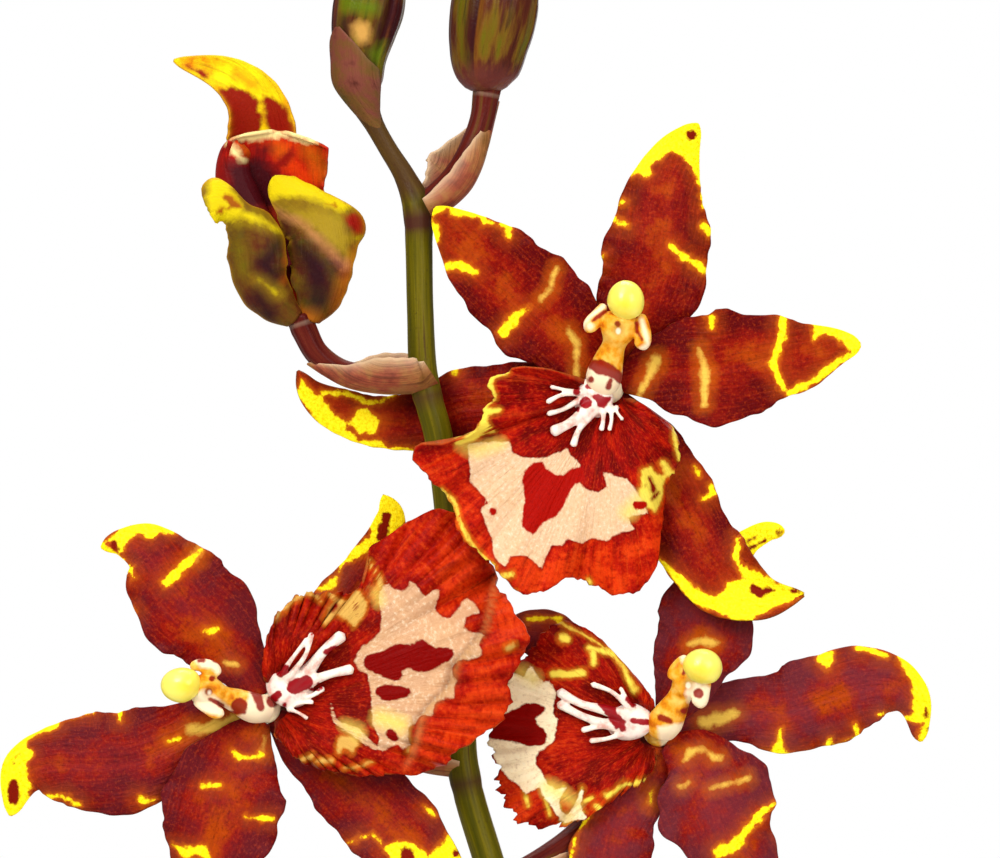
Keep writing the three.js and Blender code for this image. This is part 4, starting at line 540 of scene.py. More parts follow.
            [(682, 1138, 16), (650, 1249, 20), (619, 1328, 24)], [(698, 1217, 18), (745, 1201, 16)],
            [(830, 1188, 34), (870, 1165, 14), (900, 1140, 18), (940, 1110, 16), (1000, 1120, 22),
             (1060, 1085, 16)],
            [(600, 1325, 30), (690, 1290, 20)], [(385, 1090, 24), (420, 1120, 30)]],
        "amber": [
            [(320, 440, 60), (390, 480, 60)], [(480, 1140, 90), (580, 1190, 70), (660, 1240, 50)],
            [(600, 1320, 60)]]}},
    "bloom_1_column": {BLOOM_1_COLUMN_VIEW: {"cream": [
        [(60, 1130), (210, 1000), (560, 1130), (660, 900), (660, 1500), (60, 1500)],
        [(85, 640, 60), (110, 520, 60), (200, 420, 50), (360, 310, 60), (380, 260, 60)], [(180, 560, 90)],
        [(800, 480, 50), (850, 640, 60), (880, 780, 60), (820, 850, 110)]],
        "crimson": [
            [(215, 1020, 130), (300, 1050, 190), (420, 1090, 150), (510, 1150, 130), (545, 1200, 100)],
            [(190, 1200, 80)], [(430, 1210, 60), (400, 1290, 70)], [(640, 880, 50), (610, 980, 40)],
            [(370, 380, 50), (300, 430, 60), (215, 490, 40)],
            [(740, 520, 50), (750, 620, 50), (815, 720, 30)], [(515, 530, 70)]],
        "callus_spots": [
            [(190, 1400), (280, 1370), (350, 1400), (450, 1410), (420, 1470), (350, 1550), (270, 1530),
             (250, 1460)],
            [(130, 1480, 150)], [(150, 1280, 60), (190, 1290, 60)], [(40, 1270, 50), (20, 1350, 90)],
            [(250, 1700, 90)], [(30, 1560, 60)]]}},
    "bloom_2_column": {
        BLOOM_2_VIEW: {"cream": [
            [(1165, 735), (1260, 770), (1340, 860), (1330, 980), (1040, 960), (1140, 880), (1150, 830),
             (1160, 790)],
            [(900, 650), (950, 615), (1030, 618), (1055, 680), (1045, 715), (1010, 720), (980, 690),
             (930, 685)],
            [(840, 830), (950, 785), (1000, 820), (1090, 885), (1060, 915), (980, 900), (890, 880)]],
            "crimson": [
                [(1178, 745, 40), (1185, 790, 50), (1210, 870, 36)], [(1110, 862, 76)],
                [(1060, 895, 20), (1130, 890, 24)], [(1265, 840, 60)], [(940, 650, 26), (925, 655, 20)],
                [(1000, 645, 36)], [(968, 798, 34)], [(975, 830, 20), (1030, 862, 26)], [(985, 735, 30)]]},
        BLOOM_2_LIP_VIEW: {"callus_spots": [
            [(85, 995, 50), (115, 975, 50)], [(160, 1075, 80), (230, 1050, 80)],
            [(50, 1140, 50), (75, 1115, 40)], [(345, 880, 36), (390, 865, 50)],
            [(300, 1060, 24), (315, 1080, 20)], [(110, 1175, 30)], [(250, 1085, 16), (300, 1095, 16)],
            [(260, 780, 14), (300, 760, 14)]]}},
    "bloom_3_column": {
        BLOOM_3_VIEW: {"cream": [
            [(160, 90), (215, 62), (275, 75), (240, 120), (215, 145), (170, 125)],
            [(200, 235), (250, 228), (300, 235), (335, 260), (350, 300), (310, 365), (260, 375), (205, 340),
             (190, 290)],
            [(40, 470), (230, 440), (250, 510), (60, 580)]],
            "crimson": [
                [(262, 288, 56)], [(350, 265, 36), (362, 330, 40), (305, 395, 40), (250, 430, 30)],
                [(185, 385, 36), (215, 380, 40)], [(228, 90, 18)], [(190, 140, 16), (182, 180, 22)],
                [(60, 420, 40), (110, 440, 30)]]},
        BLOOM_3_LIP_VIEW: {"callus_spots": [
            [(745, 577), (872, 601), (888, 680), (951, 743), (888, 790), (824, 695), (777, 632)],
            [(690, 580, 40), (790, 605, 50), (860, 640, 60), (870, 690, 40)],
            [(910, 740, 50), (930, 780, 40)], [(990, 735, 36), (1080, 745, 40)],
            [(960, 600, 30), (990, 640, 30)]]}},
    "opening_bud_back": {OPENING_BUD_VIEW: {"maroon": [
        [(270, 255), (300, 215), (370, 205), (450, 225), (500, 255), (520, 290), (510, 320), (530, 350),
         (525, 420), (520, 560), (330, 560), (330, 430), (300, 370), (270, 330), (262, 290)],
        [(545, 245), (600, 260), (650, 300), (690, 350), (700, 375), (760, 440), (760, 560), (570, 560),
         (560, 400)],
        [(95, 80, 8), (150, 110, 14), (215, 145, 22)]],
        "amber": [[(400, 130, 40), (480, 190, 40)], [(540, 300, 30), (560, 380, 60), (620, 420, 60)]]}},
    # On the opening bud the dark marks are painted shade in its throat, hole and folds
    "opening_bud_inner": {THROAT_VIEW: {"cream": [
        [(200, 140), (330, 90), (430, 55), (480, 70), (600, 78), (700, 55), (760, 60), (950, 60), (960, 130),
         (930, 140), (860, 152), (790, 178), (740, 165), (690, 132), (600, 124), (480, 137), (440, 152),
         (350, 137)]],
        "maroon": [
            [(100, 250), (200, 270), (330, 330), (500, 330), (560, 300), (680, 190), (700, 240), (620, 330),
             (560, 420), (600, 600), (100, 700)],
            [(400, 190, 50)]],
        "dark": [
            [(470, 215, 80)], [(120, 340), (420, 270), (560, 380), (620, 660), (300, 760), (100, 640)],
            [(560, 500, 200), (640, 700, 180), (660, 1100, 160)]],
        # The inner petal's second orange streak is a painted highlight
        "orange": [[(780, 200, 70), (850, 290, 90), (900, 400, 60)], [(560, 200, 40), (600, 230, 50)]]}},
    "opening_bud_inner_fold": {THROAT_VIEW: {"cream": [[(225, 185, 44), (250, 235, 56), (310, 300, 50)]],
        "maroon": [[(80, 250), (330, 290), (480, 330), (560, 600), (100, 640)]], "dark": [
            [(190, 340), (300, 290), (430, 300), (560, 400), (620, 700), (400, 760), (200, 560)],
            [(560, 600, 240), (640, 900, 240), (660, 1200, 240)]],
        "orange": [[(340, 200, 60), (420, 270, 60)]]}},
    "opening_bud_front_left": {THROAT_VIEW: {"green": [[(290, 780, 130), (290, 960, 130), (330, 1120, 90)]],
        "yellow": [
            [(30, 820), (30, 390), (245, 390), (250, 500), (310, 600), (345, 650), (440, 690), (530, 745),
             (600, 800), (650, 850), (605, 872), (560, 838), (450, 775), (330, 738), (200, 750), (120, 800)],
            [(430, 1160, 30), (490, 1200, 40), (550, 1260, 50)]],
        "amber": [[(640, 870, 40), (660, 950, 50), (640, 1020, 44), (670, 1090, 44), (600, 1170, 30)]],
        "maroon": [
            [(105, 690), (115, 650), (150, 620), (190, 625), (150, 560), (175, 520), (205, 530), (260, 580),
             (320, 650), (250, 650), (190, 660), (150, 690)]],
        "dark": [
            [(560, 900, 90), (480, 1050, 150), (540, 1140, 100)], [(420, 1280, 90), (500, 1400, 120)]]}},
    "opening_bud_front_right": {THROAT_VIEW: {"green": [
        [(900, 1000, 30), (1000, 1200, 50)], [(640, 1270, 60), (700, 1220, 40), (750, 1190, 40)]],
        "khaki": [
            [(500, 600), (900, 640), (1050, 700), (1090, 850), (1110, 1010), (1060, 1030), (900, 880),
             (700, 730), (560, 650)]],
        "yellow": [
            [(460, 630), (470, 370), (640, 370), (800, 390), (1000, 530), (1150, 630), (1060, 690),
             (1000, 680), (900, 650), (830, 620), (700, 590), (600, 580), (530, 605)],
            [(1120, 860, 30), (1190, 850, 30)]],
        "maroon": [
            [(1035, 700), (1110, 655), (1220, 750), (1200, 830), (1120, 845), (1060, 780)],
            [(1180, 900, 30), (1160, 960, 30)], [(900, 610, 14), (980, 630, 26)], [(540, 690, 60)]],
        "pink": [
            [(480, 600, 36), (600, 680, 40), (750, 760, 44), (850, 860, 50), (950, 960, 50),
             (1050, 1060, 60)]],
        "dark": [
            [(640, 790, 40), (700, 900, 60), (760, 960, 140), (860, 1120, 190), (860, 1290, 190)],
            [(800, 1330, 80)]],
        "orange": [
            [(1140, 960, 60), (1070, 1130, 60), (1010, 1350, 90)], [(690, 1390, 60), (820, 1430, 90)]]}},
    "last_bud": {WHOLE: {"green": [
        [(369, 52), (372, 62), (381, 67), (384, 55), (385, 42), (378, 46)], [(350, 4, 16), (372, 8, 14)]],
        "yellow": [[(352, 26), (360, 21), (368, 24), (370, 33), (368, 41), (360, 43), (354, 37)]], "dark": [
            [(344, 20, 12), (346, 38, 10)], [(379, 24, 7), (379, 36, 6)], [(398, 8, 16), (390, 40, 10)]]}}}
NO_MARK = 50.0


def read_places(piece):
    places = np.empty(len(piece.data.vertices) * 3)
    piece.data.vertices.foreach_get("co", places)
    return places.reshape(-1, 3)


def write_places(piece, millimetres):
    piece.data.vertices.foreach_set("co", (np.asarray(millimetres) * MM).ravel())
    piece.data.update()


def keep_values(piece, **kept):
    """Stores numbers or vectors for a material to read: one for each vertex, or one number for all."""
    for name, values in kept.items():
        values = np.asarray(values, dtype=np.float32)
        if values.ndim == 0:
            values = np.full(len(piece.data.vertices), values)
        kind, field = ("FLOAT_VECTOR", "vector") if values.ndim == 2 else ("FLOAT", "value")
        piece.data.attributes.new(name, kind, "POINT").data.foreach_set(field, values.ravel())


def apply_modifier(piece, kind, **settings):
    modifier = piece.modifiers.new(kind.title(), kind)
    for name, value in settings.items():
        setattr(modifier, name, value)
    bpy.ops.object.modifier_apply(modifier=modifier.name)


def select_only(*pieces):
    bpy.ops.object.select_all(action="DESELECT")
    for piece in pieces:
        piece.select_set(True)
    bpy.context.view_layer.objects.active = pieces[0]


def join_pieces(pieces, name):
    select_only(*pieces)
    bpy.ops.object.join()
    joined = bpy.context.object
    joined.name = joined.data.name = name
    return joined


def start_piece(name, add, **settings):
    """Adds one of Blender's own shapes, lamps or cameras, and names it."""
    bpy.ops.object.select_all(action="DESELECT")
    add(**settings)
    piece = bpy.context.object
    piece.name = piece.data.name = name
    return piece


def start_grid(name, across, along):
    """Adds a flat grid, and returns it with s, from -1 to 1 across it, and t, from 0 to 1 along it."""
    piece = start_piece(name, bpy.ops.mesh.primitive_grid_add, x_subdivisions=across, y_subdivisions=along,
                        size=2)
    places = read_places(piece)
    return piece, places[:, 0], (places[:, 1] + 1) / 2


def start_ball(name, segments, rings):
    """Adds a ball to be drawn out into a limb, with the turn round it and t, from 0 at its foot to 1."""
    piece = start_piece(name, bpy.ops.mesh.primitive_uv_sphere_add, segments=segments, ring_count=rings,
                        radius=1)
    x, y, z = read_places(piece).T
    return piece, np.arctan2(y, x), 1 - np.arccos(np.clip(z, -1, 1)) / np.pi


def finish_piece(piece, material, slot, *nodes, crisp_edges=None):
    """Dresses a piece, shades it smooth and puts it in the place of its CAD nodes."""
    piece.data.materials.clear()
    piece.data.materials.append(material)
    select_only(piece)
    if crisp_edges is None:
        bpy.ops.object.shade_smooth()
    else:
        bpy.ops.object.shade_smooth_by_angle(angle=math.radians(crisp_edges))
    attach(piece, "root")
    if nodes:
        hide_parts(*nodes)


def melt_together(pieces, name, grain, smoothing):
    """Joins pieces that overlap and melts them into one skin, with faces as wide as the grain."""
    melted = join_pieces(pieces, name)
    apply_modifier(melted, "REMESH", mode="VOXEL", voxel_size=grain * MM)
    apply_modifier(melted, "SMOOTH", factor=0.5, iterations=smoothing)
    return melted


def unit(vectors):
    return vectors / np.linalg.norm(vectors, axis=-1, keepdims=True)


def smooth_step(low, high, values):
    share = np.clip((np.asarray(values) - low) / (high - low), 0, 1)
    return share * share * (3 - 2 * share)


def near(values, width):
    """One where values are nothing, and next to nothing from twice the width on."""
    return np.exp(-((values / width) ** 2))


def through_rows(rows):
    """A smooth line through rows of numbers that start with a place. Its t is in step with the distance."""
    rows = np.array(rows, dtype=float)
    knots = np.concatenate([[0], np.cumsum(np.linalg.norm(np.diff(rows[:, :3], axis=0), axis=1))])
    low = np.maximum(np.arange(len(rows)) - 1, 0)
    high = np.minimum(np.arange(len(rows)) + 1, len(rows) - 1)
    slopes = (rows[high] - rows[low]) / (knots[high] - knots[low])[:, None]

    def at(t):
        place = np.clip(t, 0, 1) * knots[-1]
        i = np.clip(np.searchsorted(knots, place) - 1, 0, len(rows) - 2)
        span = knots[i + 1] - knots[i]
        u = (place - knots[i]) / span
        rise = u * u * (3 - 2 * u)
        leave = (u * (1 - u) * (1 - u) * span)[:, None]
        arrive = (u * u * (u - 1) * span)[:, None]
        ends = rows[i] * (1 - rise)[:, None] + rows[i + 1] * rise[:, None]
        return ends + slopes[i] * leave + slopes[i + 1] * arrive

    at.length = knots[-1]
    return at


def three_step(values, t):
    """The value at t of a smooth run with the three given values at its root, middle and tip."""
    root, middle, tip = values
    return root * (1 - t) * (1 - 2 * t) + middle * 4 * t * (1 - t) + tip * t * (2 * t - 1)


def blade_places(blade, s, t, crimp=0.0):
    """The surface of a leaf, petal or bract along its rows, and each place's millimetres across and along.

    Bend rolls its edges towards the side that it faces, fold lifts them in a V, wave is the height, number
    and phase of the waves along its edges, and crimp is the height of the small puckers at its rim.
    """
    STEP = 0.02
    SCALLOP = 0.045
    CRIMP_SPACING = 2.6
    POINTED_FROM = 0.965
    along = through_rows([(*row, row[-1])[:5] for row in blade["rows"]])
    here = along(t)
    tangent = unit(along(t + STEP)[:, :3] - along(t - STEP)[:, :3])
    side = unit(np.cross(tangent, unit(np.array(blade.get("facing", FRONT), dtype=float))))
    normal = np.cross(side, tangent)
    height, count, phase = blade.get("wave", (0, 1, 0))
    turn = 2 * np.pi * count * t + phase + np.where(s > 0, 1.9, 0)
    swell = np.sin(np.pi * np.minimum(1, 1.1 * t))
    scallop = 1 + SCALLOP * swell * np.sin(1.7 * turn) if height else 1
    point = np.sqrt(1 - 0.92 * np.clip((t - POINTED_FROM) / (1 - POINTED_FROM), 0, 1) ** 2)
    half = np.where(s < 0, here[:, 3], here[:, 4]) * scallop * point
    crimps = 2 * np.pi * t * along.length / CRIMP_SPACING + 2 * np.sin(7 * t + s)
    half = half * (1 + 0.35 * crimp * swell * np.abs(s) ** 4 * np.sin(crimps) / np.maximum(half, 3))
    angle = three_step(blade.get("bend", (0, 0, 0)), t)
    angle = np.where(np.abs(angle) < 1e-3, 1e-3, angle)
    across = half * np.sin(angle * s) / angle
    lift = half * (1 - np.cos(angle * s)) / angle + height * swell * s * s * np.sin(turn)
    lift += three_step(blade.get("fold", (0, 0, 0)), t) * half * np.abs(s)
    lift += crimp * swell * s**6 * np.sin(crimps + np.where(s > 0, 1, 0))
    places = here[:, :3] + side * across[:, None] + normal * lift[:, None]
    return places, np.column_stack([half * s, t * along.length])


def limb_places(rows, turn, t, form=None, flatten=1.0, rounding=0.02):
    """A limb's skin along rows of x, y, z and radius, with rounded ends. Form gives its swell and ribs."""
    steps, index = np.unique(np.round(t, 7), return_inverse=True)
    along = through_rows(rows)
    tangents = unit(along(steps + 0.01)[:, :3] - along(steps - 0.01)[:, :3])
    side, sides = np.array([1.0, 0, 0]), []
    for tangent in tangents:
        side = unit(side - side.dot(tangent) * tangent)
        sides.append(side)
    sides = np.array(sides)
    others = np.cross(tangents, sides)
    here = along(steps)
    near_end = 1 - np.clip(np.minimum(steps, 1 - steps) / rounding, 0, 1)
    radii = here[:, 3] * np.sqrt(np.clip(1 - near_end**2, 0, 1))
    rib = radii[index] * (form(turn, t) if form else 1)
    outwards = sides[index] * (np.cos(turn) * rib)[:, None]
    outwards += others[index] * (np.sin(turn) * rib * flatten)[:, None]
    return here[index, :3] + outwards, here[index, 3], steps[index] * along.length


def from_heart(heart, rows):
    """Rows measured from a bloom's heart, as rows in the part's frame."""
    x, y, z = heart
    return [(x + right, y - front, z + up, *rest) for right, up, front, *rest in rows]


# How many pleats run to a lip's margin, and where they start
PLEATS = {"count": 34, "from": 0.5}


def lip_outline(lip, s):
    """The outline at s: its angle, its radius and the angle that its ray leaves the root with."""
    rows = [(angle, 0, 0, radius, *(leaves or [angle])) for angle, radius, *leaves in lip["outline"]]
    angle, _, _, radius, leaving = through_rows(rows)((s + 1) / 2).T
    return angle, radius, leaving


def lip_places(heart, lip, s, t):
    """The lip's surface and what its colours need: s runs round the fan and t out from its root."""
    u = (s + 1) / 2
    turned, outer, leaving = lip_outline(lip, s)
    pleat = 2 * np.pi * PLEATS["count"] * u
    pleat = pleat + 1.3 * np.sin(2 * np.pi * 5 * u) + 0.8 * np.sin(2 * np.pi * 13 * u + 1)
    margin = smooth_step(PLEATS["from"], 1, t)
    teeth = np.interp(u, (0, 1), lip["teeth"]) * margin**2
    reach = outer * (1 + 0.012 * margin * np.sin(2 * np.pi * 9 * u + 2 * np.sin(9 * u)))
    reach = reach + teeth * (0.7 * np.sin(pleat * 0.83) + 0.4 * np.sin(pleat * 2.1))
    radius = LIP_ROOT + (reach - LIP_ROOT) * t
    beyond = np.clip((radius - lip["waist"]) / np.maximum(outer - lip["waist"], 0.1), 0, 1)
    angle = np.radians(leaving + (turned - leaving) * np.where(outer > lip["waist"], beyond, t))
    (root_right, root_up, root_front), (tilt_right, tilt_up) = lip["root"], lip["tilt"]
    right = root_right + radius * np.cos(angle)
    up = root_up + radius * np.sin(angle)
    rise = np.where(t < LIP_CREST, np.sin(np.pi / 2 * t / LIP_CREST), 1 - 0.9 * (t - LIP_CREST) ** 2)
    height, count, phase = lip["ruffles"]
    relief = height * t**3 * np.sin(2 * np.pi * count * u + phase)
    relief += sum(lift * near(leaving - at, width) * t**4 for at, width, lift in lip["folds"])
    crease_angle, crease_radius, crease_height = np.array(lip["crease"], dtype=float).T
    degrees = np.degrees(angle)
    past = radius - np.interp(degrees, crease_angle, crease_radius)
    beyond_crease = smooth_step(-0.2, 1.1, past)
    lifted = np.interp(degrees, crease_angle, crease_height, left=0, right=0)
    relief += 1.5 * lifted * beyond_crease
    relief += np.interp(u, (0, 1), lip["pleats"]) * margin * np.sin(pleat) * np.clip(outer / 14, 0.3, 1)
    slope = t * ((right - root_right) * tilt_right + (up - root_up) * tilt_up)
    front = root_front + lip["reach"] * rise * (1 - 0.35 * s**4) + slope + relief
    middle, half = lip["glow"]
    glow = np.exp(-(((np.degrees(angle) - middle) / half) ** 4)) * smooth_step(0.3, 0.9, t)
    places = np.column_stack([heart[0] + right, heart[1] - front, heart[2] + up])
    values = {
        "grain": np.column_stack([angle * 25, radius]), "glow": glow,
        # painted shadow under the lifted crease, and a painted highlight along its edge
        "painted_crease_shadow": np.minimum(lifted, 1) * near(past + 0.7, 0.8),
        "painted_crease_highlight": np.minimum(lifted, 1) * near(past - 0.4, 0.5),
    }
    return places, values


def place_on_lip(heart, lip, degrees, distance):
    """The place on a lip at an angle in degrees and a distance from its root."""
    s = np.linspace(-1, 1, 400)
    _, outer, leaving = lip_outline(lip, s)
    nearest = np.argmin(np.abs(leaving - degrees))
    share = min(max((distance - LIP_ROOT) / (outer[nearest] - LIP_ROOT), 0), 0.8)
    return lip_places(heart, lip, s, np.full(len(s), share))[0][nearest]


def photo_pixels(places):
    """Where the camera sees places, in pixels of the photograph."""
    scale = -CAMERA[1] / (places[:, 1] - CAMERA[1]) / PIXEL
    across = PICTURE_CENTRE[0] + (places[:, 0] - CAMERA[0]) * scale
    down = PICTURE_CENTRE[1] - (places[:, 2] - CAMERA[2]) * scale
    return np.column_stack([across, down])


def away_from_edge(points, start, end):
    """How far points are from the straight edge between two points, and how far along it each is nearest."""
    start, step = np.array(start, dtype=float), np.subtract(end, start, dtype=float)
    share = np.clip((points - start) @ step / max(step @ step, 1e-9), 0, 1)
    return np.linalg.norm(points - start - share[:, None] * step, axis=1), share


def away_from_area(points, corners):
    """How far points are from an outline, less than nothing inside it."""
    nearest = np.full(len(points), 1e6)
    inside = np.zeros(len(points), dtype=bool)
    x, y = points.T
    for (ax, ay), (bx, by) in zip(corners, corners[1:] + corners[:1]):
        nearest = np.minimum(nearest, away_from_edge(points, (ax, ay), (bx, by))[0])
        crosses = (ay > y) != (by > y)
        inside ^= crosses & (x < ax + (y - ay) * (bx - ax) / ((by - ay) or 1e-9))
    return np.where(inside, -nearest, nearest)


def away_from_streak(points, line):
    """How far points are from a streak with a width at each of its points, less than nothing inside it."""
    nearest = np.full(len(points), 1e6)
    for (ax, ay, a_width), (bx, by, b_width) in zip(line, line[1:] or line):
        away, share = away_from_edge(points, (ax, ay), (bx, by))
        nearest = np.minimum(nearest, away - (a_width + (b_width - a_width) * share) / 2)
    return nearest


def away_from_marks(places, name, *kinds):
    """Millimetres from places to a piece's nearest mark of each kind, less than nothing inside one."""
    away = {kind: np.full(len(places), NO_MARK) for kind in kinds}
    for (left, top, scale), shapes in MARKS.get(name, {}).items():
        points = (photo_pixels(places) - (left, top)) * scale
        for kind in kinds:
            for shape in shapes.get(kind, []):
                measure = away_from_area if len(shape[0]) == 2 else away_from_streak
                away[kind] = np.minimum(away[kind], measure(points, shape) * PIXEL / scale)
    return away


def finish_sheet(piece, places, thickness, rim_share, layer, turned_over=False, **kept):
    """Gives a sheet its places, what its material reads and its thickness, thinner at the rim.

    Its grain is in millimetres across and along it, and layer sets it apart from the grain of other sheets.
    """
    write_places(piece, places)
    kept["grain"] = np.column_stack([kept["grain"], np.full(len(places), layer)])
    keep_values(piece, **kept)
    group = piece.vertex_groups.new(name="thick")
    for level in range(11):
        chosen = np.flatnonzero(np.round(np.abs(kept["rim"]) ** 4 * 10) == level)
        group.add([int(i) for i in chosen], 1 - level / 10, "REPLACE")
    apply_modifier(piece, "SOLIDIFY", thickness=thickness * MM, offset=0, vertex_group="thick",
                   thickness_vertex_group=rim_share)
    back = np.arange(len(piece.data.vertices)) >= len(places)
    keep_values(piece, back=back != turned_over)
    piece.vertex_groups.clear()


# The output that a node is read by where it isn't the first: a mixed colour, or what the mesh keeps
MAIN_OUTPUT = {"ShaderNodeMix": 2, "ShaderNodeAttribute": 2}


def feed(node, inputs):
    """Sets a node's inputs, by name or number, to values, to sRGB hex colours or to what other nodes give."""
    for name, value in dict(inputs).items():
        if isinstance(name, int):
            socket = node.inputs[name]
        else:
            socket = next(socket for socket in node.inputs if socket.name == name and socket.enabled)
        if isinstance(value, bpy.types.Node):
            value = value.outputs[MAIN_OUTPUT.get(value.bl_idname, 0)]
        if isinstance(value, bpy.types.NodeSocket):
            node.id_data.links.new(value, socket)
        else:
            socket.default_value = linear(value) if isinstance(value, str) else value


def add_node(look, kind, inputs=(), stops=(), **settings):
    """Adds a node to a material or a world with its settings, its inputs and its ramp's stops."""
    node = look.node_tree.nodes.new("ShaderNode" + kind)
    for name, value in settings.items():
        setattr(node, name, value)
    feed(node, inputs)
    for i, (place, colour) in enumerate(stops):
        ramp = node.color_ramp.elements
        stop = ramp[i] if i < len(ramp) and i < 2 else ramp.new(place)
        stop.position, stop.color = place, linear(colour) if isinstance(colour, str) else colour
    return node


def start_material(name, on_object=False, **sockets):
    """A new material with one Principled shader, whose sockets are given by name with _ for a space.

    Its patterns lie on the grain that the mesh keeps, or on Object coordinates, which are returned with it.
    """
    look = bpy.data.materials.new(name)
    look.use_nodes = True
    look.node_tree.nodes.clear()
    inputs = {name.replace("_", " "): value for name, value in sockets.items()}
    shader = add_node(look, "BsdfPrincipled", inputs)
    add_node(look, "OutputMaterial", {"Surface": shader})
    if on_object:
        return look, add_node(look, "TexCoord").outputs["Object"]
    return look, add_node(look, "Attribute", attribute_name="grain").outputs["Vector"]


def finish_material(look, inputs):
    """Joins what a material has made to its shader."""
    feed(look.node_tree.nodes["Principled BSDF"], inputs)
    return look


def paint(look, under, colour, share, strength=1.0):
    """A layer of pigment over another colour. Its share is a node, or the name of what the mesh keeps."""
    if isinstance(share, str):
        share = add_node(look, "Attribute", attribute_name=share)
    amount = add_node(look, "Math", {0: share, 1: strength}, operation="MULTIPLY")
    return add_node(look, "Mix", {"Factor": amount, "A": under, "B": colour}, data_type="RGBA")


def tint(look, under, *layers):
    """Layers of pigment: the value that each follows, where it starts and is full, colour and strength."""
    for value, start, full, colour, strength in layers:
        share = add_node(look, "MapRange", {"Value": value, "From Min": start, "From Max": full})
        under = paint(look, under, colour, share, strength)
    return under


def paint_marks(look, under, grain, spread, size, *layers):
    """Pigment in the marks, whose edges stray by a spread in spots of a size, both in millimetres.

    A layer has the kind of mark, its colour, how soft its edge is and how far it is grown, both in
    millimetres, and its strength.
    """
    noise = add_node(look, "TexNoise", {"Vector": grain, "Scale": 1 / size, "Detail": 4, "Roughness": 0.6})
    stray = add_node(look, "Math", {0: noise, 1: 2 * spread, 2: -spread}, operation="MULTIPLY_ADD")
    for kind, colour, soft, grown, strength in layers:
        away = add_node(look, "Attribute", attribute_name=kind)
        moved = add_node(look, "Math", {0: away, 1: stray}, operation="ADD")
        under = tint(look, under, (moved, grown + soft, grown - soft, colour, strength))
    return under


def drawn_noise(look, place, scale, detail=4, roughness=0.55):
    """Noise drawn out into fibres, veins or layers by its scale along each axis."""
    drawn = add_node(look, "Mapping", {"Vector": place, "Scale": scale})
    return add_node(look, "TexNoise", {"Vector": drawn, "Scale": 1, "Detail": detail, "Roughness": roughness})


def streaks_along(look, grain, width, length):
    """Noise drawn out along the grain: a width and a length in millimetres."""
    return drawn_noise(look, grain, (1 / width, 1 / length, 1))


def pebbled_skin(look, skin, grain, size, height, veins=None, vein_height=0.0):
    """Finishes a plant's skin with its colour and, as bump in millimetres, its cells and its veins."""
    cells = add_node(look, "TexNoise", {"Vector": grain, "Scale": 1 / size, "Detail": 2})
    bump = add_node(look, "Bump", {"Height": cells, "Strength": 1, "Distance": height * MM})
    if veins:
        bump = add_node(look, "Bump", {
            "Height": veins, "Strength": 1, "Distance": vein_height * MM, "Normal": bump})
    return finish_material(look, {"Base Color": skin, "Normal": bump})


def petal_material(bloom):
    # Sepals and petals: thin living tissue, its cells filled with red sap over yellow, under a faint wax.
    # The cells are 0.03 mm wide, too fine to show, and are drawn 0.4 mm wide. They break the soft shine
    # into sparkles. Orange glows through along the middle, and where the red sap is missing the yellow
    # shows.
    look, grain = start_material("orchid_petal_skin", Roughness=0.36, IOR=1.4, Specular_IOR_Level=0.05)
    broad = add_node(look, "TexNoise", {"Vector": grain, "Scale": 0.16, "Detail": 5, "Roughness": 0.62})
    rim = add_node(look, "Attribute", attribute_name="rim")
    edge = add_node(look, "Math", {0: rim}, operation="ABSOLUTE")
    middle = add_node(look, "MapRange", {
        "Value": edge, "From Min": 0.95, "To Min": -0.17, "From Max": 0.1, "To Max": 0.12})
    depth = add_node(look, "Math", {0: broad, 1: middle}, operation="ADD")
    skin = add_node(look, "ValToRGB", {"Fac": depth}, [
        (0.36, "580406"), (0.48, bloom.petal_red), (0.58, "861204"), (0.72, bloom.petal_orange)])
    veins = streaks_along(look, grain, 0.5, 6)
    fine = add_node(look, "TexNoise", {"Vector": grain, "Scale": 2, "Detail": 3, "Roughness": 0.75})
    skin = tint(look, skin, (veins, 0.52, 0.7, "480304", 0.35), (veins, 0.47, 0.33, "b4360a", 0.2),
                (fine, 0.53, 0.68, "bc4410", 0.34), (fine, 0.47, 0.34, "3f0406", 0.5))
    # A plum tint, partly a painted purple sheen, where the broad mottle is dark
    plum_and_sheen_share = add_node(look, "MapRange", {"Value": broad, "From Min": 0.62, "From Max": 0.42})
    dusky = add_node(look, "Math", {0: add_node(look, "Attribute", attribute_name="dusky"), 1: plum_and_sheen_share},
                     operation="MULTIPLY")
    skin = paint(look, skin, "70303a", dusky, 0.5)
    sun = add_node(look, "ValToRGB", {"Fac": fine}, [
        (0.35, "eac200"), (0.5, bloom.petal_yellow), (0.7, "fbea2c")])
    skin = paint_marks(look, skin, grain, 0.9, 1.5, ("amber", bloom.amber, 1.3, 0.6, 0.6),
                       ("amber", "e6bc4c", 0.35, 0, 0.85), ("yellow", "a8420a", 1.3, 1.2, 0.5),
                       ("yellow", bloom.amber, 0.35, 0.35, 0.7), ("yellow", sun, 0.14, 0, 1),
                       ("spots", "761404", 0.2, 0, 1))
    skin = paint(look, skin, "6f4a14", "back", 0.55)
    return pebbled_skin(look, skin, grain, 0.42, 0.1, veins, 0.25)


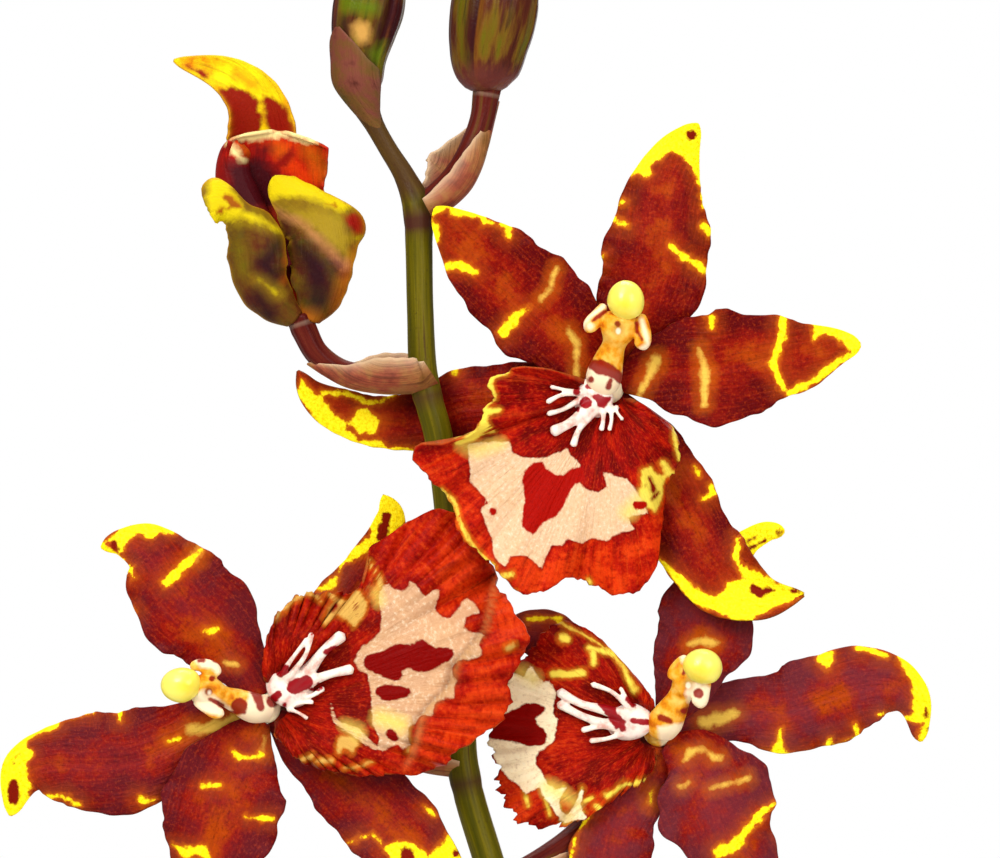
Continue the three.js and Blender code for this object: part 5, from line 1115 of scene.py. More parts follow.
def lip_material(bloom):
    # The lip: the same tissue as the petals, thinner and pleated like a fan, with redder sap. Fine pleats 1
    # mm wide run out to its torn margin and catch the light, and the cream at its middle is freckled with
    # brown.
    look, grain = start_material("orchid_lip_skin", Roughness=0.38, IOR=1.4, Specular_IOR_Level=0.04)
    broad = add_node(look, "TexNoise", {"Vector": grain, "Scale": 0.2, "Detail": 5, "Roughness": 0.6})
    glow = add_node(look, "Attribute", attribute_name="glow")
    lift = add_node(look, "MapRange", {"Value": glow, "From Max": 1, "To Min": -0.1, "To Max": 0.13})
    depth = add_node(look, "Math", {0: broad, 1: lift}, operation="ADD")
    red = add_node(look, "ValToRGB", {"Fac": depth}, [
        (0.32, "650303"), (0.46, bloom.lip_red), (0.58, "b01a04"), (0.68, "cb3208")])
    bright = add_node(look, "Attribute", attribute_name="bright")
    dull = add_node(look, "MapRange", {"Value": bright, "To Min": 0.22, "To Max": 0})
    red = paint(look, red, "7c1404", dull)
    pleats = streaks_along(look, grain, 1, 9)
    margin = add_node(look, "Attribute", attribute_name="rim")
    pleated = add_node(look, "MapRange", {
        "Value": margin, "From Min": 0.35, "From Max": 0.85, "To Min": 0.25})
    for low, high, colour, strength in ((0.53, 0.66, "500202", 0.5), (0.46, 0.34, "d84a14", 0.35)):
        share = add_node(look, "MapRange", {"Value": pleats, "From Min": low, "From Max": high})
        share = add_node(look, "Math", {0: share, 1: pleated}, operation="MULTIPLY")
        red = paint(look, red, colour, share, strength)
    fine = add_node(look, "TexNoise", {"Vector": grain, "Scale": 1.6, "Detail": 4, "Roughness": 0.7})
    speckle, shade = (fine, 0.53, 0.68), (fine, 0.47, 0.34)
    skin = tint(look, red, (*speckle, "df5218", 0.3), (*shade, "4e0203", 0.4))
    # Pale sets each lip's cream and yellow; lip 3's cream is painted lighter to make up for the shade it lies
    # in
    pale = add_node(look, "Attribute", attribute_name="pale")
    yellow = tint(look, "cc9e4c", (pale, 0.15, 0.5, bloom.lip_yellow, 1))
    cream = add_node(look, "ValToRGB", {"Fac": pale}, [(0, "ba8a64"), (0.5, bloom.cream), (1, "ffe6bc")])
    cream = tint(look, cream, (broad, 0.46, 0.64, "d8a878", 0.35), (*speckle, "a86c3c", 0.32),
                 (*shade, "f6e6c8", 0.4))
    blotch = tint(look, paint(look, bloom.blotch, "9c0a02", bright), (*shade, "600101", 0.35))
    skin = paint_marks(look, skin, grain, 0.4, 1.2, ("yellow", "c87818", 0.4, 0.3, 0.6),
                       ("yellow", yellow, 0.2, 0, 0.95), ("cream", "6c0302", 0.25, 0.3, 0.6),
                       ("cream", cream, 0.12, 0, 1), ("amber", "e8cc58", 1, 0, 0.7),
                       ("blotch", blotch, 0.12, 0, 1), ("specks", "7c0603", 0.2, 0, 1))
    # Painted shadow under the lifted crease, a painted highlight along its edge, and the back's own colour
    for kept, colour, strength in (
            ("painted_crease_shadow", "3c0202", 0.4), ("painted_crease_highlight", "ecb868", 0.22), ("back", "a8642a", 0.45)):
        skin = paint(look, skin, colour, kept, strength)
    return pebbled_skin(look, skin, grain, 0.5, 0.1, pleats, 0.4)


def callus_material():
    # The callus: a fleshy, waxy crest, smooth and dense, so it is nearly white and shines more than the
    # lip.
    look, grain = start_material("waxy_callus", Roughness=0.33, IOR=1.44, Specular_IOR_Level=0.3,
                                 Subsurface_Weight=0.12, Subsurface_Scale=0.0012)
    soft = add_node(look, "TexNoise", {"Vector": grain, "Scale": 0.7, "Detail": 3})
    skin = add_node(look, "ValToRGB", {"Fac": soft}, [(0.36, "f2e4d4"), (0.52, "eed6c8"), (0.7, "dca594")])
    skin = paint_marks(look, skin, grain, 0.3, 0.8, ("callus_spots", "8e0410", 0.1, 0, 1))
    return pebbled_skin(look, skin, grain, 0.5, 0.04)


def column_material():
    # The column: solid, fleshy tissue with a wet shine, cream where it is thick and orange where it is
    # thin, splashed with crimson.
    look, grain = start_material("fleshy_column", Roughness=0.32, IOR=1.4, Specular_IOR_Level=0.12,
                                 Subsurface_Weight=0.1, Subsurface_Scale=0.0012)
    soft = add_node(look, "TexNoise", {"Vector": grain, "Scale": 0.5, "Detail": 4})
    skin = add_node(look, "ValToRGB", {"Fac": soft}, [(0.32, "c06008"), (0.46, "e6981c"), (0.64, "f0c25c")])
    skin = paint_marks(look, skin, grain, 0.25, 0.8, ("cream", "f6e0bc", 0.3, 0, 0.92),
                       ("crimson", "860406", 0.14, 0, 0.95))
    # Round the stigma's hollow a brown ring, partly painted shade, and a painted glint in its middle
    away = add_node(look, "Attribute", attribute_name="stigma")
    skin = tint(look, skin, (away, 1.2, 0.5, "9a5a18", 0.45), (away, 0.5, 0.3, "f4e6cc", 0.8))
    return pebbled_skin(look, skin, grain, 0.4, 0.05)


def cap_material(bloom):
    # The anther cap: a smooth waxy cap, pale at its rim and deep yellow where the pollen shows through.
    look, grain = start_material("waxy_anther_cap", Roughness=0.3, IOR=1.45, Coat_Weight=0.2,
                                 Coat_Roughness=0.2)
    soft = add_node(look, "TexNoise", {"Vector": grain, "Scale": 0.35, "Detail": 3})
    skin = paint(look, bloom.cap_colour, "f4eb8c", soft, 0.5)
    skin = paint(look, skin, "eec40c", "glow", 0.8)
    return pebbled_skin(look, skin, grain, 0.35, 0.035)


def opening_bud_material(bloom):
    # Sepals of the opening bud, seen from behind: thicker and greener than the open ones, with purple sap
    # clouding the olive, a warm orange glow where the light comes through, and a yellow rim. The petals
    # held inside are already red.
    look, grain = start_material("opening_bud_skin", Roughness=0.42, IOR=1.4, Specular_IOR_Level=0.1)
    broad = add_node(look, "TexNoise", {"Vector": grain, "Scale": 0.18, "Detail": 5, "Roughness": 0.6})
    skin, sunny, crimson = [add_node(look, "ValToRGB", {"Fac": broad}, stops) for stops in (
        [(0.3, "504a08"), (0.44, "603c0e"), (0.54, "56240e"), (0.66, "401218")],
        [(0.34, "d98004"), (0.46, "eec006"), (0.62, "f6e40e")],
        [(0.34, "7c0604"), (0.48, "b41806"), (0.62, "d23406")])]
    skin = paint(look, skin, sunny, "sunny")
    skin = paint(look, skin, crimson, "crimson")
    veins = streaks_along(look, grain, 0.6, 8)
    skin = tint(look, skin, (veins, 0.5, 0.7, "3a0c08", 0.4))
    cloud = add_node(look, "TexNoise", {"Vector": grain, "Scale": 0.35, "Detail": 3})
    maroon = paint(look, "560a12", "9a1806", cloud)
    # Dark marks are painted shade in the throat and folds, and one orange streak is a painted highlight
    skin = paint_marks(look, skin, grain, 1.1, 2, ("green", "78700a", 1.3, -0.2, 0.4),
                       ("khaki", "a08418", 1.2, 0, 0.85), ("orange", "c86a0c", 1.5, 0, 0.65),
                       ("amber", bloom.amber, 0.9, 0, 0.75), ("maroon", maroon, 0.45, 0, 0.95),
                       ("pink", "c07a50", 0.8, 0, 0.6), ("yellow", "a08408", 1.2, 0.3, 0.65),
                       ("yellow", "dfc608", 0.6, -0.6, 0.85), ("maroon", "8c1006", 0.3, -0.25, 0.85),
                       ("cream", "f0d890", 0.4, 0, 0.95), ("dark", "1f0610", 1.3, 0, 0.85))
    skin = paint(look, skin, "d8a018", "golden", 0.6)
    return pebbled_skin(look, skin, grain, 0.45, 0.08, veins, 0.2)


def closed_bud_material():
    # Closed buds: three firm waxy sepals, each overlapping the next. Olive and purple sap stripes them
    # along their veins, their edges are red, and painted shade, partly purple sap, darkens each where it
    # slips under the next.
    look, grain = start_material("closed_bud_skin", Roughness=0.38, IOR=1.4, Specular_IOR_Level=0.12)
    broad = drawn_noise(look, grain, (0.42, 0.42, 0.05))
    skin = add_node(look, "ValToRGB", {"Fac": broad}, [
        (0.34, "5e5608"), (0.45, "6a4a10"), (0.53, "4f2210"), (0.66, "3c100e")])
    lines = drawn_noise(look, grain, (1.6, 1.6, 0.1), 3, 0.5)
    skin = tint(look, skin, (lines, 0.52, 0.68, "200a0a", 0.55))
    # shade is painted shade, partly purple sap, where one sepal slips under the next
    layers = (("shade", "2a080e", 0.85), ("edge", "7c3c16", 0.45), ("foot", "6c302a", 0.75))
    for kept, colour, strength in layers:
        skin = paint(look, skin, colour, kept, strength)
    skin = paint_marks(look, skin, grain, 0.6, 1.5, ("dark", "340c14", 0.8, 0, 0.85),
                       ("green", "566808", 0.9, 0, 0.85), ("yellow", "cc984a", 0.7, 0, 0.85))
    return pebbled_skin(look, skin, grain, 0.45, 0.06, lines, 0.12)


def stem_material(plant):
    # The flower stem: a smooth green stem tanned by the sun, with long fibres under its skin, fine brown
    # flecks and purple at its joints.
    look, grain = start_material("flower_stem_skin", Roughness=0.36, IOR=1.42, Specular_IOR_Level=0.12)
    fibres = drawn_noise(look, grain, (0.9, 0.9, 0.03), 5, 0.6)
    skin = add_node(look, "ValToRGB", {"Fac": fibres}, [
        (0.32, "3c3a04"), (0.47, plant.stem_green), (0.6, "665a06"), (0.72, "3f2208")])
    fine = add_node(look, "TexNoise", {"Vector": grain, "Scale": 1.5, "Detail": 4, "Roughness": 0.7})
    skin = tint(look, skin, (fine, 0.6, 0.72, "2c1c10", 0.6))
    skin = paint(look, skin, "43181c", "joint", 0.85)
    return pebbled_skin(look, skin, grain, 0.6, 0.05, fibres, 0.15)


def stalk_material(plant):
    # Flower stalks: slim stems dark red-brown with sap, grooved along their length, paler at the flower's
    # foot.
    look, grain = start_material("flower_stalk_skin", Roughness=0.38, IOR=1.4, Specular_IOR_Level=0.12)
    fibres = drawn_noise(look, grain, (1, 1, 0.06), 4, 0.5)
    skin = add_node(look, "ValToRGB", {"Fac": fibres}, [
        (0.3, "5c3a14"), (0.44, plant.stalk_red), (0.6, "450b08"), (0.74, "7a3a22")])
    skin = paint(look, skin, "cdb79a", "pale", 0.8)
    return pebbled_skin(look, skin, grain, 0.45, 0.05, fibres, 0.12)


def bract_material(plant):
    # Bracts and sheaths: papery, half dry leaf tissue, tan flushed with pink, with straight veins that
    # stand up as the tissue shrinks. The rim is dry and pale. Round the last bud it is still fresh, with
    # purple sap.
    look, grain = start_material("papery_bract", Roughness=0.6, IOR=1.4, Specular_IOR_Level=0.12)
    broad = add_node(look, "TexNoise", {"Vector": grain, "Scale": 0.22, "Detail": 5, "Roughness": 0.6})
    skin = add_node(look, "ValToRGB", {"Fac": broad}, [
        (0.3, "7c4f22"), (0.45, plant.bract_tan), (0.58, "94462e"), (0.72, "6f2a22")])
    veins = streaks_along(look, grain, 0.45, 12)
    skin = tint(look, skin, (veins, 0.5, 0.66, "54281a", 0.55))
    rim = add_node(look, "Attribute", attribute_name="rim")
    skin = paint(look, skin, "d9bd98", add_node(look, "Math", {0: rim, 1: 8.0}, operation="POWER"), 0.7)
    sap = add_node(look, "ValToRGB", {"Fac": broad}, [
        (0.34, "4e4210"), (0.48, "64421e"), (0.6, "703a2e"), (0.72, "4a2018")])
    skin = paint(look, skin, sap, "fresh", 0.9)
    return pebbled_skin(look, skin, grain, 0.5, 0.05, veins, 0.25)


def leaf_material(plant):
    # Strap leaves: leathery leaf blades with a waxy top, parallel veins about 1.2 mm apart and a paler
    # midrib. The underside is duller and lighter, and the tips have dried a little.
    look, grain = start_material("leathery_leaf", Roughness=0.42, IOR=1.45, Coat_Weight=0.08,
                                 Coat_Roughness=0.3)
    broad = add_node(look, "TexNoise", {"Vector": grain, "Scale": 0.05, "Detail": 5, "Roughness": 0.55})
    skin = add_node(look, "ValToRGB", {"Fac": broad}, [
        (0.32, "2c5218"), (0.5, plant.leaf_green), (0.7, "5d8230")])
    veins = streaks_along(look, grain, 1.2, 90)
    skin = tint(look, skin, (veins, 0.5, 0.68, "79994a", 0.5))
    for kept, colour, strength in (("rib", "9db35c", 0.6), ("tip", "7a5a2a", 0.9), ("back", "7f9a56", 0.45)):
        skin = paint(look, skin, colour, kept, strength)
    return pebbled_skin(look, skin, grain, 1.6, 0.02, veins, 0.15)


def bulb_material(plant):
    # Pseudobulbs: swollen stems full of water, under a smooth tough skin that wrinkles into ridges as they
    # age. Yellow-green, browned along the ridges and near the foot.
    look, grain = start_material("pseudobulb_skin", Roughness=0.4, IOR=1.45, Coat_Weight=0.12,
                                 Coat_Roughness=0.3)
    fibres = drawn_noise(look, grain, (0.35, 0.35, 0.02), 6, 0.6)
    skin = add_node(look, "ValToRGB", {"Fac": fibres}, [
        (0.3, "56722a"), (0.48, plant.bulb_green), (0.64, "9da850"), (0.76, "8b7a3a")])
    fine = add_node(look, "TexNoise", {"Vector": grain, "Scale": 0.6, "Detail": 4, "Roughness": 0.7})
    skin = tint(look, skin, (fine, 0.6, 0.74, "5d3f1c", 0.6))
    skin = paint(look, skin, "8a6a34", "aged", 0.7)
    return pebbled_skin(look, skin, grain, 0.9, 0.06, fibres, 0.5)


def husk_material():
    # Dry husks: dead, papery tissue, matte and silvery tan, with fibres along it.
    look, grain = start_material("dry_husk", Roughness=0.8, IOR=1.4)
    fibres = streaks_along(look, grain, 0.7, 16)
    skin = add_node(look, "ValToRGB", {"Fac": fibres}, [(0.35, "a58a5e"), (0.5, "c9b48a"), (0.66, "8c6c40")])
    return pebbled_skin(look, skin, grain, 0.7, 0.08, fibres, 0.3)


def root_material():
    # Air roots: their spongy outer coat is full of air when dry, so it is silvery white and quite matte.
    look, grain = start_material("spongy_root_coat", Roughness=0.85, IOR=1.4)
    cloud = add_node(look, "TexNoise", {"Vector": grain, "Scale": 0.5, "Detail": 5, "Roughness": 0.65})
    skin = add_node(look, "ValToRGB", {"Fac": cloud}, [(0.3, "8f9a7c"), (0.5, "d3d2c2"), (0.7, "b9b294")])
    return pebbled_skin(look, skin, grain, 0.5, 0.1)


def bark_material(plant):
    # Orchid bark: broken fir bark in layers, red-brown and matte, lighter where it has split and nearly
    # black in its cracks. Layers are about 1 mm thick.
    look, place = start_material("fir_bark", on_object=True, Roughness=0.88, IOR=1.45)
    split = drawn_noise(look, place, (300, 300, 900), 6, 0.65)
    skin = add_node(look, "ValToRGB", {"Fac": split}, [
        (0.3, "24140c"), (0.45, "553019"), (0.56, plant.bark_brown), (0.72, "a67448")])
    skin = paint(look, skin, "8a4a26", "tone", 0.55)
    bump = add_node(look, "Bump", {"Height": split, "Strength": 1, "Distance": 0.0011})
    return finish_material(look, {"Base Color": skin, "Normal": bump})


def glaze_material(pot):
    # Glazed stoneware: thrown clay under a warm white glaze, glassy and slightly uneven, thinner and
    # browner on the rim, with iron specks. The foot is wiped bare to the buff clay, which is matte.
    look, place = start_material("glazed_stoneware", on_object=True, IOR=1.5, Coat_Weight=0.3,
                                 Coat_Roughness=0.08)
    cloud = add_node(look, "TexNoise", {"Vector": place, "Scale": 24, "Detail": 4})
    skin = paint(look, pot.glaze_colour, "b9a888", cloud, 0.35)
    specks = add_node(look, "TexVoronoi", {"Vector": place, "Scale": 190, "Randomness": 1})
    skin = tint(look, skin, (specks, 0.17, 0.08, "6d4a2c", 0.7))
    skin = paint(look, skin, "a77f52", "rim_break", 0.8)
    bare = add_node(look, "Attribute", attribute_name="bare_clay")
    grit = add_node(look, "TexNoise", {"Vector": place, "Scale": 900, "Detail": 4})
    skin = paint(look, skin, paint(look, pot.clay_colour, "a98a64", grit, 0.6), bare)
    shine = add_node(look, "MapRange", {"Value": bare, "To Min": 0.14, "To Max": 0.85})
    bump = add_node(look, "Bump", {"Height": cloud, "Strength": 1, "Distance": 0.0012})
    gritty = add_node(look, "Math", {0: grit, 1: bare}, operation="MULTIPLY")
    bump = add_node(look, "Bump", {"Height": gritty, "Strength": 1, "Distance": 0.0003, "Normal": bump})
    return finish_material(look, {"Base Color": skin, "Roughness": shine, "Normal": bump})


def floor_material(studio):
    # Matte studio board: an even, pale, painted surface with a faint tooth. It thins out far from the
    # plant, so that it melts into the white surround without an edge.
    look, place = start_material("matte_studio_board", on_object=True, Roughness=0.7)
    tooth = add_node(look, "TexNoise", {"Vector": place, "Scale": 300, "Detail": 3})
    skin = paint(look, studio.floor_colour, "e2e2e0", tooth, 0.25)
    distance = add_node(look, "VectorMath", {0: place}, operation="LENGTH").outputs["Value"]
    solid = add_node(look, "MapRange", {"Value": distance, "From Min": 1.7, "From Max": 0.4})
    return finish_material(look, {"Base Color": skin, "Alpha": solid})


# The pot, from the middle of its foot up its outside, over the rim and down to its floor: radius, height
POT = {"foot": 42, "bevel": 1.5, "shoulder": 56.5, "collar": 12, "rim": 60, "height": 106, "wall": 4.2,
       "floor": 5}


def pot_radius(z):
    flare = POT["shoulder"] - POT["foot"] - POT["bevel"]
    return POT["foot"] + POT["bevel"] + flare * (max(z, 0) / (POT["height"] - POT["collar"])) ** 0.9


def pot_profile():
    """The pot's outline with a shallow recess under its foot, a glaze line above it, and a rolled rim."""
    foot, height, rim = POT["foot"], POT["height"], POT["rim"]
    shoulder_height = height - POT["collar"]
    outside = [(foot - 7, 1.4), (foot - 5.6, 0.3), (foot - 4.6, 0), (foot - 0.6, 0), (foot + 0.4, 0.4),
               (foot + 1.2, 1.4), (foot + 1.1, 2.6), (foot + 1.9, 3.6)]
    outside += [(pot_radius(z) + 0.14 * math.sin(z * 1.1), z) for z in range(5, shoulder_height, 3)]
    crown = [(56.9, shoulder_height + 0.4), (58.6, 95.8), (59.7, 97.6), (rim, 100), (rim, 102.4),
             (59.6, 104.4), (58.8, 105.6), (57.6, height), (56.4, 105.7), (55.5, 104.6), (55, 102.6),
             (54.6, 100), (53.6, 97)]
    inside = [(pot_radius(z) - POT["wall"], z) for z in range(shoulder_height, 8, -6)]
    return [*outside, *crown, *inside, (foot - 3.5, 6.6), (foot - 6, POT["floor"])]


def turn_profile(name, profile, sides):
    """Draws a disc up and out along a profile of radius and height, as a pot is thrown on a wheel."""
    radius, height = profile[0]
    piece = start_piece(name, bpy.ops.mesh.primitive_circle_add, vertices=sides, radius=radius * MM,
                        fill_type="NGON", location=(0, 0, height * MM))
    bpy.ops.object.transform_apply(location=True, rotation=False, scale=False)
    bpy.ops.object.mode_set(mode="EDIT")
    bpy.ops.mesh.select_all(action="SELECT")
    for next_radius, next_height in profile[1:]:
        rise = (0, 0, (next_height - height) * MM)
        bpy.ops.mesh.extrude_region_move(TRANSFORM_OT_translate={"value": rise})
        grown = next_radius / radius
        bpy.ops.transform.resize(value=(grown, grown, 1), center_override=(0, 0, next_height * MM))
        radius, height = next_radius, next_height
    bpy.ops.mesh.select_all(action="SELECT")
    bpy.ops.mesh.normals_make_consistent(inside=False)
    bpy.ops.object.mode_set(mode="OBJECT")
    return piece


def build_pot(settings):
    piece = turn_profile("pot_glazed", pot_profile(), 128)
    x, y, z = (read_places(piece) / MM).T
    outside = np.hypot(x, y) > np.interp(z, (0, POT["height"]), (POT["foot"] - 3, POT["rim"] - 4))
    drip = 3 + 0.5 * np.sin(5 * np.arctan2(y, x)) + 0.25 * np.sin(11 * np.arctan2(y, x) + 1)
    keep_values(piece, bare_clay=(z < drip) & (outside | (z < 2)),
                rim_break=1 - smooth_step(0.2, 1.5, np.abs(z - POT["height"] + 0.3)))
    finish_piece(piece, glaze_material(settings), "glaze", "pot")


def build_chip(number, random_numbers):
    """One broken chip: a slab split in layers, its corners knocked off."""
    chip = start_piece("chip", bpy.ops.mesh.primitive_cube_add, size=1)
    bpy.ops.object.mode_set(mode="EDIT")
    bpy.ops.mesh.select_all(action="SELECT")
    bpy.ops.mesh.subdivide(number_cuts=2)
    bpy.ops.object.mode_set(mode="OBJECT")
    places = read_places(chip)
    corner = np.abs(places).prod(axis=1) / 0.125
    places *= 1 - 0.24 * corner[:, None]
    places += np.array([random_numbers.uniform(-0.07, 0.07) for _ in range(places.size)]).reshape(-1, 3)
    places[:, 0] += 0.12 * np.sign(places[:, 2]) * np.sin(6 * places[:, 1] + number)
    chip.data.vertices.foreach_set("co", places.ravel())
    return chip


def turned(places, angles):
    """Places turned about x, then y, then z by angles in radians."""
    for axis, angle in enumerate(angles):
        a, b = (axis + 1) % 3, (axis + 2) % 3
        places = places.copy()
        first, second = places[:, a].copy(), places[:, b].copy()
        places[:, a] = first * math.cos(angle) - second * math.sin(angle)
        places[:, b] = first * math.sin(angle) + second * math.cos(angle)
    return places


def build_bark(plant):
    """The bed that fills the pot, and loose chips over it, each a turned and stretched copy of a few.

    The chips lie in a low mound, and those beside the rim are smaller and flatter.
    """
    GOLDEN_TURN = 2.39996
    CHIPS_REACH = 46.5
    BESIDE_RIM = 38
    MOUND_RADIUS, MOUND_HEIGHT = 48, 3.4
    inside = [(pot_radius(z) - POT["wall"] - 0.6, z) for z in (8, 30, 55, 80, BARK_TOP - 3)]
    bed = turn_profile("bark_bed", [(36, 5.6), *inside, (46, BARK_TOP - 2), (20, BARK_TOP - 1)], 72)
    keep_values(bed, tone=0.1)
    finish_piece(bed, bark_material(plant), "bark", "bark")
    numbers = random.Random(11)
    patterns = [build_chip(i, numbers) for i in range(4)]
    copies = []
    for i in range(plant.chip_count):
        distance = CHIPS_REACH * math.sqrt((i + 0.5) / plant.chip_count)
        around = i * GOLDEN_TURN
        shrink, steep = (1, 0.55) if distance < BESIDE_RIM else (0.62, 0.3)
        copy = patterns[i % len(patterns)].copy()
        copy.data = copy.data.copy()
        bpy.context.collection.objects.link(copy)
        length = numbers.uniform(9, 21) * shrink
        size = np.array([length, length * numbers.uniform(0.45, 0.8), numbers.uniform(3, 6.5)])
        angles = [numbers.uniform(-steep, steep), numbers.uniform(-steep, steep), numbers.uniform(0, 6.28)]
        mound = MOUND_HEIGHT * (1 - (distance / MOUND_RADIUS) ** 2)
        height = BARK_TOP + mound + numbers.uniform(-2.2, 1.8)
        centre = (distance * math.cos(around), distance * math.sin(around), height)
        write_places(copy, turned(read_places(copy) * size, angles) + centre)
        keep_values(copy, tone=numbers.random())
        copies.append(copy)
    for pattern in patterns:
        bpy.data.objects.remove(pattern)
    chips = join_pieces(copies, "bark_chips")
    apply_modifier(chips, "BEVEL", width=0.35 * MM, segments=1, limit_method="ANGLE")
    finish_piece(chips, bed.data.materials[0], "bark", "bark", crisp_edges=38)


def limb_skin(name, rows, segments, rings, form=None, flatten=1.0, rounding=0.02):
    """A limb of round section with its grain kept for its material, and its turn, share and skin."""
    piece, turn, t = start_ball(name, segments, rings)
    places, radius, along = limb_places(rows, turn, t, form, flatten, rounding)
    write_places(piece, places)
    grain = np.column_stack([np.cos(turn) * radius, np.sin(turn) * radius, along])
    keep_values(piece, grain=grain + len(name) * 17.3)
    return piece, turn, t, places


def build_bulbs(plant):
    material = bulb_material(plant)
    for number, (name, bulb) in enumerate(BULBS.items()):
        (x, y), height, half = bulb["at"], bulb["height"], bulb["half"]
        rows = [(x, y, BULB_FOOT + share * height, width * half) for share, width in BULB_FORM]

        def ridge(turn, t):
            return 1 - np.abs(np.sin(4 * turn + 0.5 * np.sin(3 * t + number))) ** 0.55

        def ridged(turn, t):
            deep = np.sin(np.pi * np.clip(t, 0, 1)) ** 0.6
            wrinkle = 0.006 * np.sin(19 * turn + 4 * np.sin(5 * t + number)) * np.sin(9 * t)
            return 1 + deep * (0.042 * ridge(turn, t) - 0.018) + wrinkle

        piece, turn, t, _ = limb_skin(f"{name}_ridged", rows, 104, 56, ridged, BULB_FLATTEN, 0.03)
        aged = 0.5 * ridge(turn, t) ** 2 + smooth_step(0.3, 0, t) + smooth_step(0.9, 1, t)
        keep_values(piece, aged=np.clip(aged, 0, 1))
        finish_piece(piece, material, "bulb", name)


# Husks: away from the bulb, towards the back, height above the bark, half widths
HUSK_ROWS = [(0, 0, -6, 8), (1.2, -0.6, 3, 7.6, 7.8), (0.8, 0, 12, 4.8, 5.4), (-0.2, 0.8, 21, 0.8)]


def build_husks():
    """Dry husks that still cup the bulbs' feet."""
    material = husk_material()
    for name, bulb in BULBS.items():
        (x, y), half = bulb["at"], bulb["half"]
        for side in (-1, 1):
            outward = x + side * (half * 0.93 + 1.1)
            rows = [(outward + side * away, y + back, BARK_TOP + rise, *widths)
                    for away, back, rise, *widths in HUSK_ROWS]
            blade = {"rows": rows, "facing": (-side, 0, 0), "bend": (0.9, 0.8, 0.4), "wave": (0.5, 2, side)}
            piece, s, t = start_grid(f"husk_{name}_{'left' if side < 0 else 'right'}", 20, 36)
            places, grain = blade_places(blade, s, t, 0.15)
            finish_sheet(piece, places, 0.5, 0.5, half, rim=s, grain=grain)
            finish_piece(piece, material, "bract")


def build_roots():
    """A few air roots that creep over the bark and dive back into it."""
    ROOTS = [
        [(-9, -19, 84, 2), (-16, -27, 93, 2.1), (-27, -31, 97, 2.2), (-36, -27, 94, 2), (-40, -22, 86, 1.7)],
        [(10, -20, 84, 2), (18, -30, 95, 2.1), (30, -33, 97.5, 2.1), (40, -24, 94, 1.9), (43, -16, 86, 1.6)],
        [(36, 22, 84, 2), (43, 14, 94, 2.1), (46, 2, 96, 2), (44, -9, 91, 1.8), (42, -14, 85, 1.6)],
        [(-36, 26, 84, 2), (-32, 36, 94, 2.1), (-20, 43, 97, 2), (-6, 45, 93, 1.9), (0, 44, 86, 1.6)],
    ]
    material = root_material()
    for number, rows in enumerate(ROOTS):
        def knotted(turn, t):
            return 1 + 0.06 * np.sin(23 * t + number) + 0.03 * np.sin(3 * turn + 9 * t)

        piece = limb_skin(f"air_root_{number + 1}", rows, 20, 72, knotted)[0]
        finish_piece(piece, material, "stem")


def leaf_rows(name):
    """A leaf's spine leans further from upright towards the tip, and the blade is widest near its middle."""
    ROWS = 9
    WIDEST = 0.45
    LOW_REACH, HIGH_REACH, SPARE = 1.03, 0.27, 1.15
    bulb_name, heading, length, (first_lean, last_lean), half = LEAVES[name]
    bulb, turn, low = BULBS[bulb_name], math.radians(heading), name.startswith("sheath")
    reach = bulb["half"] * (LOW_REACH if low else HIGH_REACH)
    away = reach / math.hypot(math.cos(turn), math.sin(turn) / BULB_FLATTEN) + SPARE
    x, y = bulb["at"][0] + away * math.cos(turn), bulb["at"][1] + away * math.sin(turn)
    z = BARK_TOP - 6 if low else BULB_FOOT + 0.955 * bulb["height"]
    rows, step = [], length / (ROWS - 1)
    for i in range(ROWS):
        u = i / (ROWS - 1)
        if u < WIDEST:
            share = 0.3 + 0.7 * math.sin(math.pi / 2 * u / WIDEST)
        else:
            share = math.cos(math.pi / 2 * (u - WIDEST) / (1 - WIDEST)) ** 0.75
        width = max(half * share, 0.8)
        rows.append((x, y, z, width))
        tilt = math.radians(first_lean + (last_lean - first_lean) * ((i + 0.5) / (ROWS - 1)) ** 1.25)
        x += step * math.sin(tilt) * math.cos(turn)
        y += step * math.sin(tilt) * math.sin(turn)
        z += step * math.cos(tilt)
    return rows, (-math.cos(turn), -math.sin(turn), 1)


def build_leaves(plant):
    material = leaf_material(plant)
    for number, name in enumerate(LEAVES):
        rows, facing = leaf_rows(name)
        piece, s, t = start_grid(f"{name}_blade", 20, 104)
        blade = {"rows": rows, "facing": facing, "fold": (0.05, 0.3, 0.1), "wave": (0.5, 2.5, number)}
        places, grain = blade_places(blade, s, t)
        places[:, 2] -= near(grain[:, 0], 0.9) * 0.35
        finish_sheet(piece, places, LEAF_THICKNESS, 0.5, number * 31, rim=s, grain=grain,
                     rib=near(grain[:, 0], 0.7), tip=smooth_step(0.975, 1, t))
        finish_piece(piece, material, "leaf", name)


# Heights of the flower stem's fork and of its joints, where a bract or sheath is rooted
FORK = 495.6
STEM_JOINTS = (130, 185, 240, 288, 342, 392.6, 412.2, 448.6, 470, 496.6)


def stem_at(height):
    """The x and y of the stem's midline at a height."""
    heights = [row[2] for row in STEM]
    return [float(np.interp(height, heights, [row[i] for row in STEM])) for i in (0, 1)]


def build_stem(plant):
    along = through_rows(STEM)

    def jointed(turn, t):
        height = along(t)[:, 2]
        swelling = sum(near(height - joint, 1.6) for joint in STEM_JOINTS)
        scar = sum(near(height - joint + 2.2, 0.35) for joint in STEM_JOINTS)
        return 1 + 0.05 * swelling - 0.035 * scar + 0.012 * np.sin(5 * turn + height * 0.02)

    piece, turn, t, _ = limb_skin("flower_stem_skin", STEM, 32, 360, jointed, rounding=0.002)
    height = along(t)[:, 2]
    ring = sum(near(height - joint + 1, 1.1) * 0.7 for joint in STEM_JOINTS)
    fork = near(height - FORK, 1.7)
    top = smooth_step(497.5, 500.5, height) * 0.75
    keep_values(piece, joint=np.clip(ring + fork + top, 0, 1))
    finish_piece(piece, stem_material(plant), "stem", "flower_stem")


